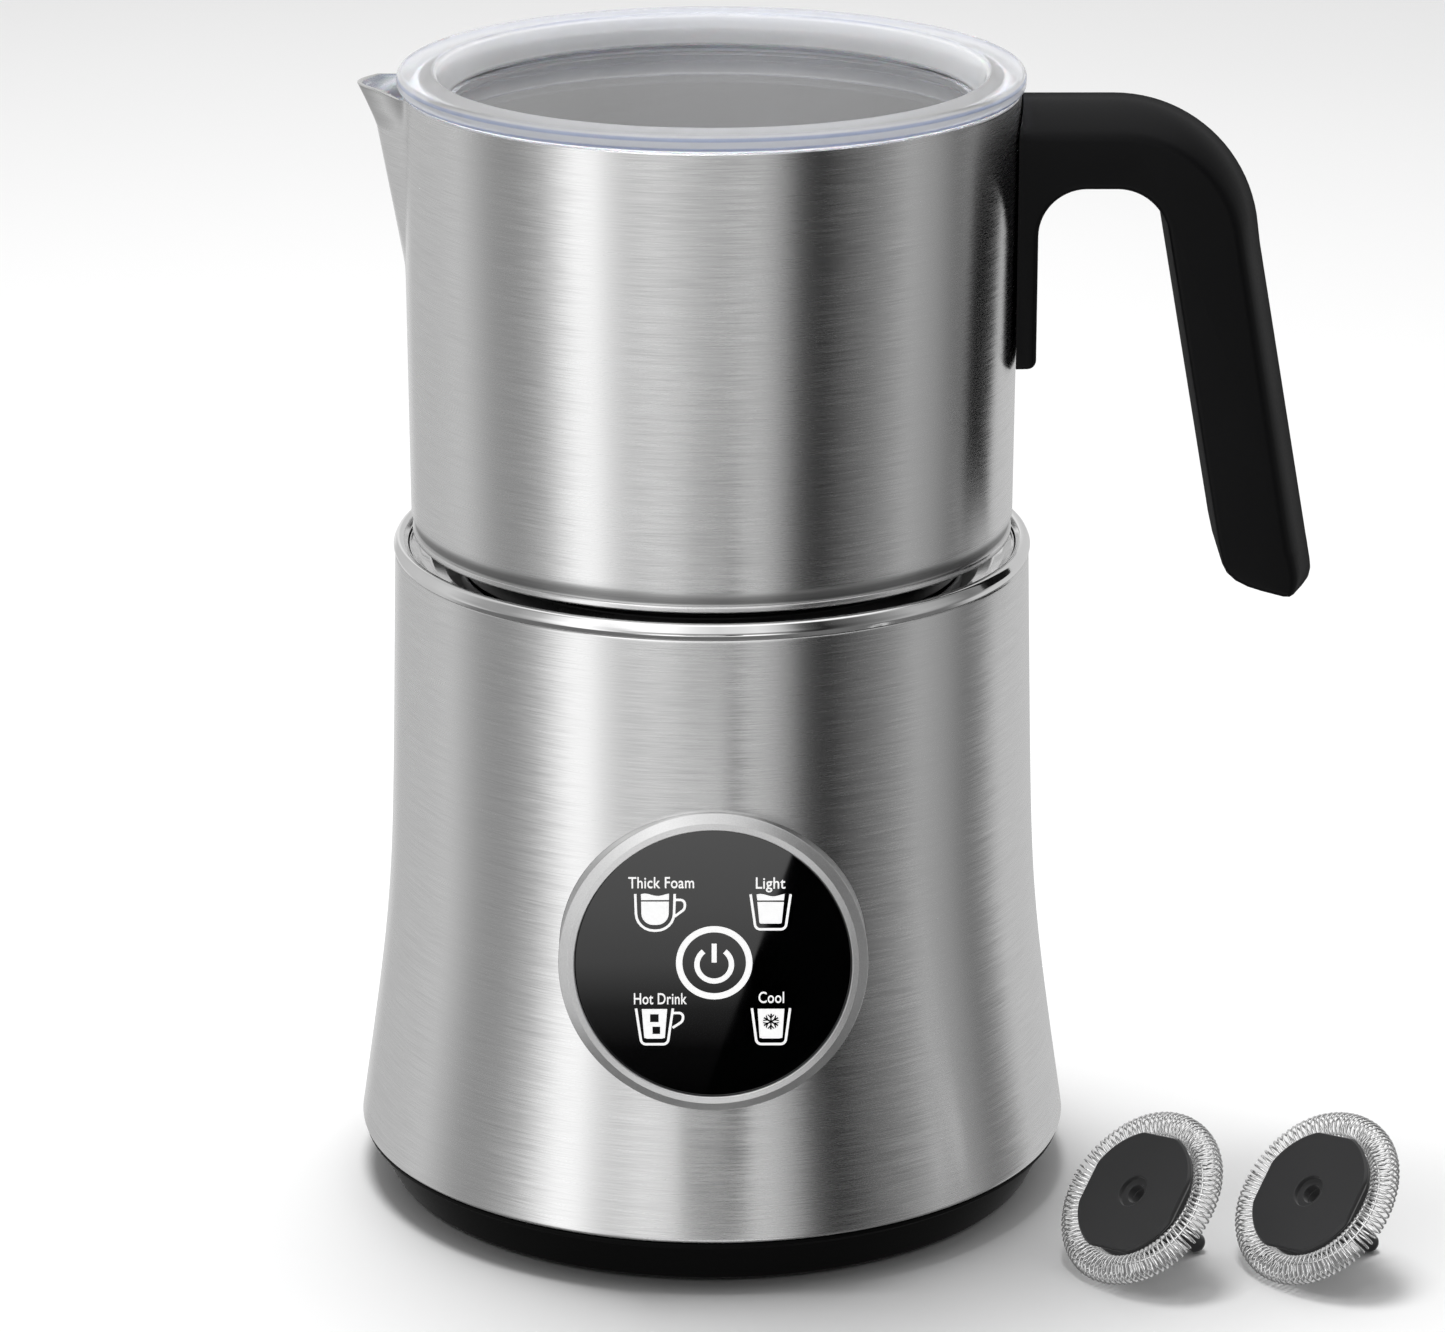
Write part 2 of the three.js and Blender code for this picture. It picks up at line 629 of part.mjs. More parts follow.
function whiskStem() {
  const tip = [0, 45].map((degrees) => {
    const angle = degrees * DEGREE;
    return [STEM_R * Math.cos(angle), STEM_LENGTH + STEM_R * Math.sin(angle)];
  });
  return turned([
    [9, 0.1], [10.2, 0.1], [10.2, 1.6], [9.4, 2.4], [3.6, 3], [STEM_R, 5], ...tip,
    [0, STEM_LENGTH + STEM_R], [0, 1.4], [WHISK_BORE_R, 1.4], [WHISK_BORE_R, 0.1], [3.4, 0.1],
    [3.4, 1.4], [9, 1.4], [9, 0.1],
  ], 12);
}

function addWhisk(name, parent) {
  add(`${name}_coil`, whiskCoil(), wireSteel, parent);
  add(`${name}_disc`, whiskDisc(), mattBlack, parent);
  add(`${name}_stem`, whiskStem(), mattBlack, parent);
  add(`${name}_magnet`, ring(3.9, 8.4, 0.15, 1.1, 12), magnetNickel, parent);
}

// ---------------------------------------------------------------- assembly

function addBase() {
  add("base_shell", baseShell(), brushedSteel);
  add("base_rim_ring", rimRing(), polishedSteel);
  add("seat_tray", seatTray(), polishedSteel);
  add("jug_seat", jugSeat(), satinBlack);
  add("base_pan", basePan(), mattBlack);
  add("bottom_cover", bottomCover(), mattBlack);
  add("centre_foot", rubberFoot(CENTRE_FOOT_R, 20), rubber);
  rubberPlaces.forEach(([x, y], i) => {
    add(`rubber_foot_${i + 1}`, rubberFoot(RUBBER_R, 16), rubber).position.set(x, y, 0);
  });
  screwPlaces.forEach(([x, y], i) => {
    add(`cover_screw_${i + 1}`, coverScrew(), zincSteel).position.set(x, y, 0);
  });
}

function addPanel() {
  const panel = panelPlace(new THREE.Group());
  root.add(panel);
  add("control_bezel", controlBezel(), satinAluminium, panel);
  add("control_glass", controlGlass(), blackGlass, panel);
  add("touch_board", disc(21.5, -5.2, -3.6, 24), boardGreen, panel);
  add("panel_backing", disc(21.5, -8, -5.6, 24), mattBlack, panel);
}

function addWorks() {
  add("inner_frame", innerFrame(), mattBlack);
  add("power_board", block(-28, 28, -24, 24, BOARD_Z, BOARD_Z + 1.6), boardGreen);
  add("capacitor", disc(6.3, 28, 48, 20).translate(-15, 10, 0), mattBlack);
  add("transformer", block(4, 22, 2, 18, 28, 43), ferrite);
  add("heat_sink", heatSink(), satinAluminium);
  add("buzzer", disc(4.5, 28, 34, 16).translate(22, -12, 0), mattBlack);
  add("motor_can", motorCan(), zincSteel);
  add("motor_bracket", motorBracket(), zincSteel);
  add("coil_carrier", coilCarrier(), mattBlack);
  add("ferrite_ring", ring(21.8, 38, 102.8, 105.2, 24), ferrite);
  add("induction_coil", ring(21.8, 39, 105.6, COIL_TOP_Z, 24), copper);
  add("thermal_fuse", disc(3, 110.6, 111.8, 16).translate(0, 30, 0), zincSteel);
  add("sensor_spring", sensorSpring().translate(SENSOR_X, 0, 0), wireSteel);
  add("cord_gland", cordGland(), mattBlack);
  add("cord_clamp", cordClamp(), mattBlack);
}

function addDriveRotor() {
  add("motor_shaft", disc(1.5, 86.6, 108.2, 12), zincSteel);
  add("magnet_carrier", magnetCarrier(), mattBlack);
  aroundCircle(2, MAGNET_RING_R).forEach(([x, y], i) => {
    add(`drive_magnet_${i + 1}`, disc(3, 107.1, 110.7, 16), magnetNickel).position.set(x, y, 0);
  });
}

function addJug() {
  add("jug_shell", jugShell(), brushedSteel);
  add("jug_base_disc", jugBaseDisc(), polishedSteel);
  add("whisk_spindle", whiskSpindle(), polishedSteel);
  add("handle_bracket", handleBracket(), brushedSteel);
  add("handle_grip", handleGrip(), satinBlack);
  handleScrewHeights.forEach((z, i) => add(`handle_screw_${i + 1}`, handleScrew(z), zincSteel));
  add("lid_cover", lidCover(), clearPlastic);
  add("lid_seal", lidSeal(), silicone);
}

function addWhisks() {
  const inJug = new THREE.Group();
  inJug.position.z = WHISK_IN_JUG_Z;
  root.add(inJug);
  addWhisk("whisk", inJug);
  const stemDirection = LEAN_FACE.clone().negate();
  for (const [name, [x, y]] of Object.entries(LOOSE_WHISKS)) {
    const lying = new THREE.Group();
    lying.quaternion.setFromUnitVectors(new THREE.Vector3(0, 0, 1), stemDirection);
    lying.position.set(x, y, LYING_Z);
    root.add(lying);
    addWhisk(name, lying);
  }
}

addBase();
addPanel();
addWorks();
add("sensor_plunger", sensorPlunger().translate(SENSOR_X, 0, 0), polishedSteel);
addDriveRotor();
addJug();
addWhisks();

export default root;
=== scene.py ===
"""Looks of a countertop milk frother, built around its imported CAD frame.

Lengths inside the shape functions are millimetres and are scaled to metres when a mesh is made. The
frame's axes hold: +Z up, handle to +X, spout to -X, touch panel to -Y, origin under the base.
"""

import json
import math

import bmesh
import bpy
from mathutils import Matrix, Vector


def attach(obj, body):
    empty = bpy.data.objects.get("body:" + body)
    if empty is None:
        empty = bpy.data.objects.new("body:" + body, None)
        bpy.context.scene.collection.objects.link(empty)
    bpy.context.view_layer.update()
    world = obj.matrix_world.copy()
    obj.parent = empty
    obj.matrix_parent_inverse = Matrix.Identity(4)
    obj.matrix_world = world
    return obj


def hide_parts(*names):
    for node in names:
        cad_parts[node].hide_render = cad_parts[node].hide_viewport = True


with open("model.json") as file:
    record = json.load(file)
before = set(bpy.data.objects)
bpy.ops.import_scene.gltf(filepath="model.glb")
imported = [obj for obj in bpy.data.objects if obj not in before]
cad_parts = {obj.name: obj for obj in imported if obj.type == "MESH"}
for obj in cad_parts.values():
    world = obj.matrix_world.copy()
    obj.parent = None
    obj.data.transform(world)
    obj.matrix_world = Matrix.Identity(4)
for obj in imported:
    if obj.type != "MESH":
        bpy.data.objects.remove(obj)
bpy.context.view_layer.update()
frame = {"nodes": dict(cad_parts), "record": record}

MM = 0.001
ON_AXIS = 1e-6

# ------------------------------------------------------------------ sizes shared with the CAD, in mm

SHELL_TOP_Z = 114.4
SHELL_TOP_R = 55.28
SHELL_TAPER = 0.0236
FLARE_SLOPE = 0.126
FLARE_Z = 50.8
FLARE_BLEND = 8.1
SHELL_WALL = 1.0
HEM_R = 0.75
HEM_Z = 10.0
PAN_BOTTOM_Z = 0.5
PAN_BOTTOM_R = 57.6
PAN_TOP_R = 61.5
CORD_Z = 24.0

PANEL_FRONT_Y = -59.7
PANEL_Z = 58.8
PANEL_TILT = math.radians(4)
BEZEL_R = 26.0
GLASS_R = 23.3
GLASS_FRONT = -0.65

SEAT_R = 43.8
SEAT_TOP_Z = 115.2
TRAY_Z = 111.8
RIM_R = 55.35
RIM_TOP_Z = 117.1
SENSOR_X = 18.2

JUG_FLOOR_Z = 118.1
JUG_RIM_Z = 196.0
JUG_BASE_R = 52.3
JUG_RIM_R = 52.8
JUG_WALL = 0.8
SPOUT_REACH = 7.6
SPOUT_RISE = 1.0
SPOUT_START_Z = 164.5
SPOUT_SLOPE = 0.175
SPOUT_FLARE_Z = 189.5
SPOUT_ANGLE = math.radians(13.2)
SPOUT_EDGE = SPOUT_ANGLE * 1.5
SPOUT_NOSE = 0.28

LID_R = 53.6
LID_TOP_Z = 199.3
LID_UNDERSIDE_Z = 196.4
LID_WELL_R = 45.3
LID_WELL_Z = 193.6

HANDLE_HALF = 11.0
EDGE_R = 1.0
INSIDE_WALL_X = 52.0
CROOK_R = 8.2
CROOK_Z = 172.1
ARM_TOP_Z = 194.6
ARM_EDGE_Z = 189.6
GRIP_LEAN = math.radians(10.2)
GRIP_DOWN = Vector((math.sin(GRIP_LEAN), -math.cos(GRIP_LEAN)))
BEND_X = 68.7
BEND_Z = 168.4
BEND_R = 21.2
TONGUE_X = 55.5
TONGUE_BOTTOM_Z = 148.8
WALL_GAP_R = 53.1

COIL_RING_R = 13.9
COIL_R = 2.6
DISC_R = 11.0
STEM_R = 1.75
WHISK_BORE_R = 1.7
LEAN_FACE = Vector((-0.62, -0.39, 0.68)).normalized()
LYING_Z = COIL_R + COIL_RING_R * math.sqrt(1 - LEAN_FACE.z**2)
STEM_LENGTH = (LYING_Z - STEM_R) / LEAN_FACE.z
WHISK_IN_JUG_Z = 123.5
LOOSE_WHISKS = {"loose_whisk_a": (73.5, -51.6), "loose_whisk_b": (103.6, -51.8)}

# ------------------------------------------------------------------ camera, lamp and reflected card

# The camera's place in metres, how far it looks down, how far it is turned, and its optics in mm
CAMERA_AT = (-0.00305, -0.93684, 0.39542)
CAMERA_DIP = math.radians(17.935)
CAMERA_TURN = math.radians(-0.3)
CAMERA_LENS = 139.35
CAMERA_SENSOR = 36.0
# The card's distance from the panel and its size in mm, and the lean of its slanted edge
CARD_AWAY = 120.0
CARD_R = 30.0
CARD_SIDE = -1.0
CARD_SLANT = -0.363
# The lamp in metres and watts
LAMP_AT = (-0.12, 0.22, 1.5)
LAMP_TARGET = (0, 0, 0.05)
LAMP_SIZE = 0.6
LAMP_POWER = 18
FLOOR_R = 9000

# ------------------------------------------------------------------ mesh helpers


def clamp(value):
    return max(0.0, min(1.0, value))


def rounded(corners, closed=False, step=11.0):
    """A profile from (r, z, radius) corners, with each corner turned into an arc of that radius."""
    points = []
    count = len(corners)
    for i, (x, z, radius) in enumerate(corners):
        at = Vector((x, z))
        if radius == 0 or (not closed and i in (0, count - 1)):
            points.append((x, z))
            continue
        back = Vector(corners[i - 1][:2]) - at
        ahead = Vector(corners[(i + 1) % count][:2]) - at
        reach = 0.48 * min(back.length, ahead.length)
        back.normalize()
        ahead.normalize()
        turn = math.pi - back.angle(ahead)
        tangent = min(radius * math.tan(turn / 2), reach)
        true_radius = tangent / math.tan(turn / 2)
        centre = at + (back + ahead).normalized() * (true_radius / math.cos(turn / 2))
        spoke = at + back * tangent - centre
        last = at + ahead * tangent - centre
        sweep = math.atan2(spoke.x * last.y - spoke.y * last.x, spoke.dot(last))
        steps = max(2, round(abs(math.degrees(sweep)) / step))
        for k in range(steps + 1):
            a = sweep * k / steps
            points.append((
                centre.x + spoke.x * math.cos(a) - spoke.y * math.sin(a),
                centre.y + spoke.x * math.sin(a) + spoke.y * math.cos(a),
            ))
    return points


def arc(cx, cz, radius, start, end, steps):
    """Points on an arc in degrees, both ends included."""
    angles = [math.radians(start + (end - start) * k / steps) for k in range(steps + 1)]
    return [(cx + radius * math.cos(a), cz + radius * math.sin(a)) for a in angles]


def finish_mesh(name, bm, material, sharp=32.0, even=False):
    """Turns a bmesh in mm into a shaded object in metres."""
    bmesh.ops.recalc_face_normals(bm, faces=bm.faces)
    bmesh.ops.scale(bm, vec=(MM, MM, MM), verts=bm.verts)
    mesh = bpy.data.meshes.new(name)
    bm.to_mesh(mesh)
    bm.free()
    obj = bpy.data.objects.new(name, mesh)
    bpy.context.scene.collection.objects.link(obj)
    if material is not None:
        mesh.materials.append(material)
    shade(obj, sharp, even)
    return obj


def shade(obj, sharp=32.0, even=True):
    """Smooth shading, but for edges over the sharp angle.

    With even set, normals follow the larger faces, so that a flat face next to a rounding stays flat.
    """
    obj.data.shade_smooth()
    obj.data.set_sharp_from_angle(angle=math.radians(sharp))
    if even:
        weighted = obj.modifiers.new("even", "WEIGHTED_NORMAL")
        weighted.mode = "FACE_AREA"
        weighted.keep_sharp = True
        keep_modified(obj)


def keep_modified(obj):
    """Makes the object's modifiers part of its mesh."""
    depsgraph = bpy.context.evaluated_depsgraph_get()
    mesh = bpy.data.meshes.new_from_object(obj.evaluated_get(depsgraph), depsgraph=depsgraph)
    obj.modifiers.clear()
    obj.data = mesh


def bridge(bm, low, high):
    """Joins two loops of as many points with a band of faces."""
    for k in range(len(low)):
        n = (k + 1) % len(low)
        bm.faces.new((low[k], low[n], high[n], high[k]))


def cap_ends(bm, loops):
    bm.faces.new(list(reversed(loops[0])))
    bm.faces.new(loops[-1])


def add_loft(bm, rings):
    """Adds a tube through rings of points, with its two ends closed by flat faces."""
    loops = [[bm.verts.new(p) for p in ring] for ring in rings]
    for low, high in zip(loops, loops[1:]):
        bridge(bm, low, high)
    cap_ends(bm, loops)


def add_lathe(bm, profile, segments, closed=False, place=None):
    """Adds a profile of (radius, z) turned about Z. Ends on the axis become single points."""
    turn = [2 * math.pi * k / segments for k in range(segments)]
    rings = []
    for r, z in profile:
        spots = [(0, 0, z)] if r < ON_AXIS else [(r * math.cos(a), r * math.sin(a), z) for a in turn]
        rings.append([bm.verts.new(spot) for spot in spots])
    pairs = list(zip(rings, rings[1:]))
    if closed:
        pairs.append((rings[-1], rings[0]))
    for low, high in pairs:
        if len(low) == len(high):
            if len(low) > 1:
                bridge(bm, low, high)
            continue
        for k in range(segments):
            n = (k + 1) % segments
            bm.faces.new((low[0], high[n], high[k]) if len(low) == 1 else (low[k], low[n], high[0]))
    if place is not None:
        bmesh.ops.transform(bm, matrix=place, verts=[v for loop in rings for v in loop])


def lathe(name, profile, material, segments=160, closed=False, place=None, sharp=32.0, even=True):
    bm = bmesh.new()
    add_lathe(bm, profile, segments, closed, place)
    return finish_mesh(name, bm, material, sharp, even)


def turned(name, outline, slot, segments, closed=False, step=11.0, **more):
    """A lathed piece from (r, z, radius) corners, in the material of a slot."""
    return lathe(name, rounded(outline, closed, step), MAT[slot], segments, closed, **more)


def punched(obj, cutter):
    """obj with cutter taken away, as a plain mesh again."""
    cut = obj.modifiers.new("cut", "BOOLEAN")
    cut.operation = "DIFFERENCE"
    cut.solver = "EXACT"
    cut.object = cutter
    keep_modified(obj)
    bpy.data.objects.remove(cutter)
    shade(obj)
    return obj


def drilled(obj, radius, low, high, place, segments=48):
    """obj with a round hole from low to high along the Z axis of its place."""
    outline = [(0, low), (radius, low), (radius, high), (0, high)]
    return punched(obj, lathe("hole", outline, None, segments, place=place, even=False))


def panel_place(unit=1.0):
    """Local +Z becomes the touch panel's outward normal, and local +Y its upward direction."""
    centre = Matrix.Translation((0, PANEL_FRONT_Y * unit, PANEL_Z * unit))
    return centre @ Matrix.Rotation(math.pi / 2 - PANEL_TILT, 4, "X")


def cord_place():
    """Local +Z becomes the way out of the base at the back, on the cord's axis."""
    return Matrix.Translation((0, 0, CORD_Z)) @ Matrix.Rotation(-math.pi / 2, 4, "X")


# ------------------------------------------------------------------ node helpers


def grey(value):
    return (value, value, value)


class Nodes:
    """Short names for building the node tree of a new material, or of a new world."""

    def __init__(self, name, world=False):
        kind, space = ("World", "Generated") if world else ("Material", "Object")
        self.owner = (bpy.data.worlds if world else bpy.data.materials).new(name)
        self.owner.use_nodes = True
        self.tree = self.owner.node_tree
        self.tree.nodes.clear()
        self.output = self.new("ShaderNodeOutput" + kind)
        self.coords = self.new("ShaderNodeTexCoord").outputs[space]

    def new(self, kind, **settings):
        node = self.tree.nodes.new(kind)
        for key, value in settings.items():
            setattr(node, key, value)
        return node

    def link(self, source, target):
        self.tree.links.new(source, target)

    def feed(self, socket, value):
        """Links the socket to value if that is another socket, and sets it to value if it isn't."""
        if hasattr(value, "links"):
            self.link(value, socket)
        else:
            socket.default_value = value

    def made(self, node, *values, **named):
        """The node with its first inputs, and the inputs that are named, fed with values."""
        for socket, value in zip(node.inputs, values):
            self.feed(socket, value)
        for name, value in named.items():
            self.feed(node.inputs[name.replace("_", " ").title().replace("Ior", "IOR")], value)
        return node

    def math(self, operation, a, b=0.0):
        return self.made(self.new("ShaderNodeMath", operation=operation), a, b).outputs[0]

    def plus(self, a, b):
        return self.math("ADD", a, b)

    def times(self, a, b):
        return self.math("MULTIPLY", a, b)

    def vector(self, operation, a, b=(0.0, 0.0, 0.0)):
        return self.made(self.new("ShaderNodeVectorMath", operation=operation), a, b).outputs[0]

    def scaled(self, vector, factor):
        node = self.new("ShaderNodeVectorMath", operation="SCALE")
        return self.made(node, vector, scale=factor).outputs[0]

    def parts(self, vector=None):
        """The x, y and z of a vector, or else of the place on the object."""
        node = self.new("ShaderNodeSeparateXYZ")
        return self.made(node, self.coords if vector is None else vector).outputs

    def radius(self):
        """Distance from the vertical axis, in metres."""
        node = self.new("ShaderNodeVectorMath", operation="LENGTH")
        return self.made(node, self.vector("MULTIPLY", self.coords, (1.0, 1.0, 0.0))).outputs["Value"]

    def height(self):
        return self.parts()[2]

    def normal(self):
        return self.new("ShaderNodeNewGeometry").outputs["Normal"]

    def noise(self, scale, detail=2.0, roughness=0.5, stretch=(1.0, 1.0, 1.0)):
        """Noise with stretch cells per unit on each axis, times scale."""
        node = self.new("ShaderNodeTexNoise")
        place = self.vector("MULTIPLY", self.coords, stretch)
        return self.made(node, vector=place, scale=scale, detail=detail, roughness=roughness).outputs["Fac"]

    def spread(self, value, low, high, start=0.0, end=1.0, style="LINEAR"):
        """value from start..end mapped to low..high."""
        node = self.new("ShaderNodeMapRange", interpolation_type=style)
        return self.made(node, value, start, end, low, high).outputs["Result"]

    def smooth(self, value, start, end, low=0.0, high=1.0):
        """As spread, with soft ends."""
        return self.spread(value, low, high, start, end, "SMOOTHSTEP")

    def ramp(self, value, stops):
        """Colours from (place, colour) stops, where a number stands for a grey."""
        node = self.new("ShaderNodeValToRGB")
        elements = node.color_ramp.elements
        elements.remove(elements[1])
        elements[0].position = stops[0][0]
        for k, (place, colour) in enumerate(stops):
            element = elements.new(place) if k else elements[0]
            element.color = (*(grey(colour) if isinstance(colour, float) else colour), 1)
        return self.made(node, value).outputs["Color"]

    def tint(self, value, low, high, start=0.3, end=0.7):
        """Colour low up to start and high from end on."""
        return self.ramp(value, [(start, low), (end, high)])

    def mixed(self, share, first, second):
        """Colour first where share is 0 and second where it is 1."""
        node = self.new("ShaderNodeMix", data_type="RGBA")
        for socket, source in ((0, share), (6, first), (7, second)):
            self.link(source, node.inputs[socket])
        return node.outputs[2]

    def either(self, share, first, second):
        """Shader first where share is 0 and second where it is 1."""
        return self.made(self.new("ShaderNodeMixShader"), share, first, second).outputs[0]

    def bump(self, height, strength, distance, **normal):
        node = self.new("ShaderNodeBump")
        return self.made(node, height=height, strength=strength, distance=distance, **normal).outputs[0]

    def principled(self, **inputs):
        return self.made(self.new("ShaderNodeBsdfPrincipled"), **inputs).outputs["BSDF"]

    def done(self, shader):
        self.link(shader, self.output.inputs["Surface"])
        return self.owner

    def surface(self, **inputs):
        """Ends the tree with one principled shader."""
        return self.done(self.principled(**inputs))


# ------------------------------------------------------------------ materials


def brushed_steel(name, tone=0.8, roughness=0.25, shaded=None):
    """Steel brushed round the vertical axis: hairlines a few mm long and a fifth of a mm high.

    shaded gives a share of shade over the surface, where the steel is darker and duller.
    """
    n = Nodes(name)
    fine = n.noise(1.0, 3.0, 0.65, (110.0, 110.0, 4600.0))
    broad = n.noise(1.0, 2.0, 0.5, (45.0, 45.0, 1500.0))
    smudge = n.noise(14.0)
    streak = n.plus(n.times(fine, 0.85), n.times(broad, 0.15))
    face = n.normal()
    round_axis = n.vector("CROSS_PRODUCT", (0.0, 0.0, 1.0), face)
    sway = n.scaled(round_axis, n.times(n.math("SUBTRACT", streak, 0.5), 0.09))
    leaning = n.vector("NORMALIZE", n.vector("ADD", face, sway))
    normal = n.bump(streak, 0.06, 0.00005, normal=leaning)
    colour = n.tint(streak, tone * 0.9, min(1.0, tone * 1.09))
    rough = n.plus(n.spread(streak, roughness - 0.03, roughness + 0.04, 0.3, 0.7),
                   n.spread(smudge, -0.01, 0.02, 0.3, 0.7))
    if shaded is not None:
        shade = shaded(n)
        colour = n.scaled(colour, n.spread(shade, 1.0, 0.27))
        rough = n.plus(rough, n.times(shade, 0.2))
    tangent = n.new("ShaderNodeTangent", direction_type="RADIAL", axis="Z").outputs["Tangent"]
    return n.surface(base_color=colour, metallic=1.0, roughness=rough, normal=normal,
                     anisotropic=0.9, anisotropic_rotation=0.25, tangent=tangent)


def jug_shade(n):
    """Shade inside the jug, under the spout's lip, and in the band over the bead round its foot."""
    radius, height = n.radius(), n.height()
    inside = n.spread(radius, 1.0, 0.0, 0.05195, 0.0521)
    above_bead = n.spread(height, 0.0, 1.0, 0.1222, 0.1226)
    floor = n.spread(radius, 1.0, 0.0, 0.0508, 0.0510)
    pinch = n.ramp(n.spread(height, 0.0, 1.0, 0.118, 0.123), [
        (0.0, 0.0), (0.24, 0.0), (0.34, 0.9), (0.55, 0.75), (0.8, 0.1), (1.0, 0.0),
    ])
    facing_down = n.spread(n.parts(n.normal())[2], 0.6, 0.0, -0.4, -0.2)
    under_lip = n.times(facing_down, n.spread(height, 0.0, 1.0, 0.186, 0.19))
    shade = n.times(inside, n.math("MAXIMUM", above_bead, floor))
    return n.math("MAXIMUM", under_lip, n.math("MAXIMUM", pinch, shade))


def polished_steel(name, tone=0.9, roughness=0.08):
    n = Nodes(name)
    haze = n.noise(60.0, 3.0, 0.6)
    lines = n.noise(1.0, 2.0, 0.5, (60.0, 60.0, 5000.0))
    rough = n.plus(n.spread(haze, roughness - 0.03, roughness + 0.05, 0.35, 0.65),
                   n.spread(lines, -0.01, 0.02, 0.3, 0.7))
    colour = n.tint(haze, tone * 0.96, min(1.0, tone * 1.03))
    return n.surface(base_color=colour, metallic=1.0, roughness=rough, normal=n.bump(lines, 0.05, 0.00003))


def satin_metal(name, tone=0.6, roughness=0.36):
    """Bead-blasted aluminium: a fine even grain."""
    n = Nodes(name)
    grain = n.noise(5200.0, 2.0, 0.6)
    cloud = n.noise(90.0)
    mottle = n.plus(n.times(grain, 0.7), n.times(cloud, 0.3))
    colour = n.tint(mottle, tone * 0.9, tone * 1.08, 0.35, 0.65)
    rough = n.spread(grain, roughness - 0.05, roughness + 0.07, 0.3, 0.7)
    return n.surface(base_color=colour, metallic=1.0, roughness=rough, normal=n.bump(grain, 0.35, 0.00004))


def moulded_plastic(name, colour, roughness=0.4, grain=900.0, depth=0.00003, specular=0.5, matt_edge=0.0):
    """Moulded plastic with a fine spark-eroded grain and slight sheen variation from handling.

    matt_edge makes it duller where it is seen at a low angle.
    """
    n = Nodes(name)
    pits = n.noise(grain * 3, 2.0, 0.55)
    wear = n.noise(28.0, 3.0, 0.55)
    shade = n.tint(wear, [c * 0.88 for c in colour], [min(1.0, c * 1.14) for c in colour])
    rough = n.plus(n.spread(wear, roughness - 0.04, roughness + 0.05, 0.3, 0.7),
                   n.spread(pits, -0.03, 0.03, 0.3, 0.7))
    if matt_edge:
        facing = n.new("ShaderNodeLayerWeight").outputs["Facing"]
        rough = n.plus(rough, n.spread(facing, 0.0, matt_edge, 0.6, 0.9))
    return n.surface(base_color=shade, roughness=rough, normal=n.bump(pits, 0.3, depth),
                     specular_ior_level=specular)


def panel_glass(name):
    """Black glass with a mirror coat and faint wiping marks."""
    n = Nodes(name)
    wipe = n.noise(1.0, 3.0, 0.6, (90.0, 40.0, 60.0))
    colour = n.tint(wipe, (0.0008, 0.0008, 0.001), (0.0014, 0.0014, 0.0018), 0.35, 0.65)
    rough = n.spread(wipe, 0.02, 0.05, 0.35, 0.65)
    return n.surface(base_color=colour, roughness=rough, ior=1.62, specular_ior_level=1.0)


def printed_white(name):
    """White ink that also glows a little, a painted light that keeps the print bright."""
    n = Nodes(name)
    ink = n.noise(1500.0)
    return n.surface(base_color=n.tint(ink, 0.82, 0.93), roughness=0.45, normal=n.bump(ink, 0.2, 0.00001),
                     emission_color=(1, 1, 1, 1), emission_strength=0.55)


def clear_plastic(name):
    """Clear moulded plastic, a little milky in its thick flange and violet at its outer edge, where light
    and dark lines are painted across the edge by height as painted highlights and painted shade.

    Light from lamps passes straight through, so that it fills the jug.
    """
    n = Nodes(name)
    flow = n.noise(30.0)
    radius, height = n.radius(), n.height()
    edge = n.spread(radius, 0.0, 1.0, 0.0530, 0.0534)
    thick = n.times(n.spread(radius, 0.0, 1.0, 0.0449, 0.0454),
                    n.spread(height, 0.0, 1.0, 0.193, 0.1936))
    wall = n.times(n.spread(radius, 1.0, 0.0, 0.0470, 0.0474),
                   n.spread(height, 0.0, 1.0, 0.1938, 0.1944))
    body = n.tint(thick, (0.965, 0.97, 1.0), (0.88, 0.89, 0.91), 0.0, 1.0)
    # The edge's violet tint, crossed by painted highlight lines (the near-white stops) and darker painted
    # shade lines
    bands = n.ramp(n.spread(height, 0.0, 1.0, 0.1963, 0.1994), [
        (0.0, (0.3, 0.35, 0.55)), (0.2, (0.36, 0.41, 0.62)), (0.3, (0.8, 0.83, 0.93)),
        (0.55, (0.84, 0.86, 0.95)), (0.64, (0.42, 0.48, 0.68)), (0.76, (0.5, 0.55, 0.74)),
        (0.84, (0.95, 0.95, 0.98)),
    ])
    rough = n.plus(n.spread(flow, 0.0, 0.02, 0.3, 0.7), n.times(thick, 0.05))
    milk = n.plus(n.times(thick, n.spread(wall, 0.3, 0.8)), n.times(edge, 0.15))
    glass = n.principled(
        base_color=n.mixed(edge, body, bands), roughness=rough, normal=n.bump(flow, 0.03, 0.0002), ior=1.14,
        transmission_weight=n.math("SUBTRACT", 1.0, milk), subsurface_weight=1.0,
        subsurface_radius=(1.0, 1.0, 1.0), subsurface_scale=0.01, coat_weight=0.5, coat_roughness=0.03,
    )
    clear = n.made(n.new("ShaderNodeBsdfTransparent"), (0.95, 0.955, 0.98, 1)).outputs["BSDF"]
    return n.done(n.either(n.new("ShaderNodeLightPath").outputs["Is Shadow Ray"], glass, clear))


def silicone(name):
    n = Nodes(name)
    cloud = n.noise(300.0)
    colour = n.tint(cloud, (0.78, 0.8, 0.82), (0.86, 0.87, 0.89))
    return n.surface(base_color=colour, roughness=n.spread(cloud, 0.38, 0.5, 0.3, 0.7),
                     normal=n.bump(cloud, 0.1, 0.00002), subsurface_weight=0.2, subsurface_scale=0.001)


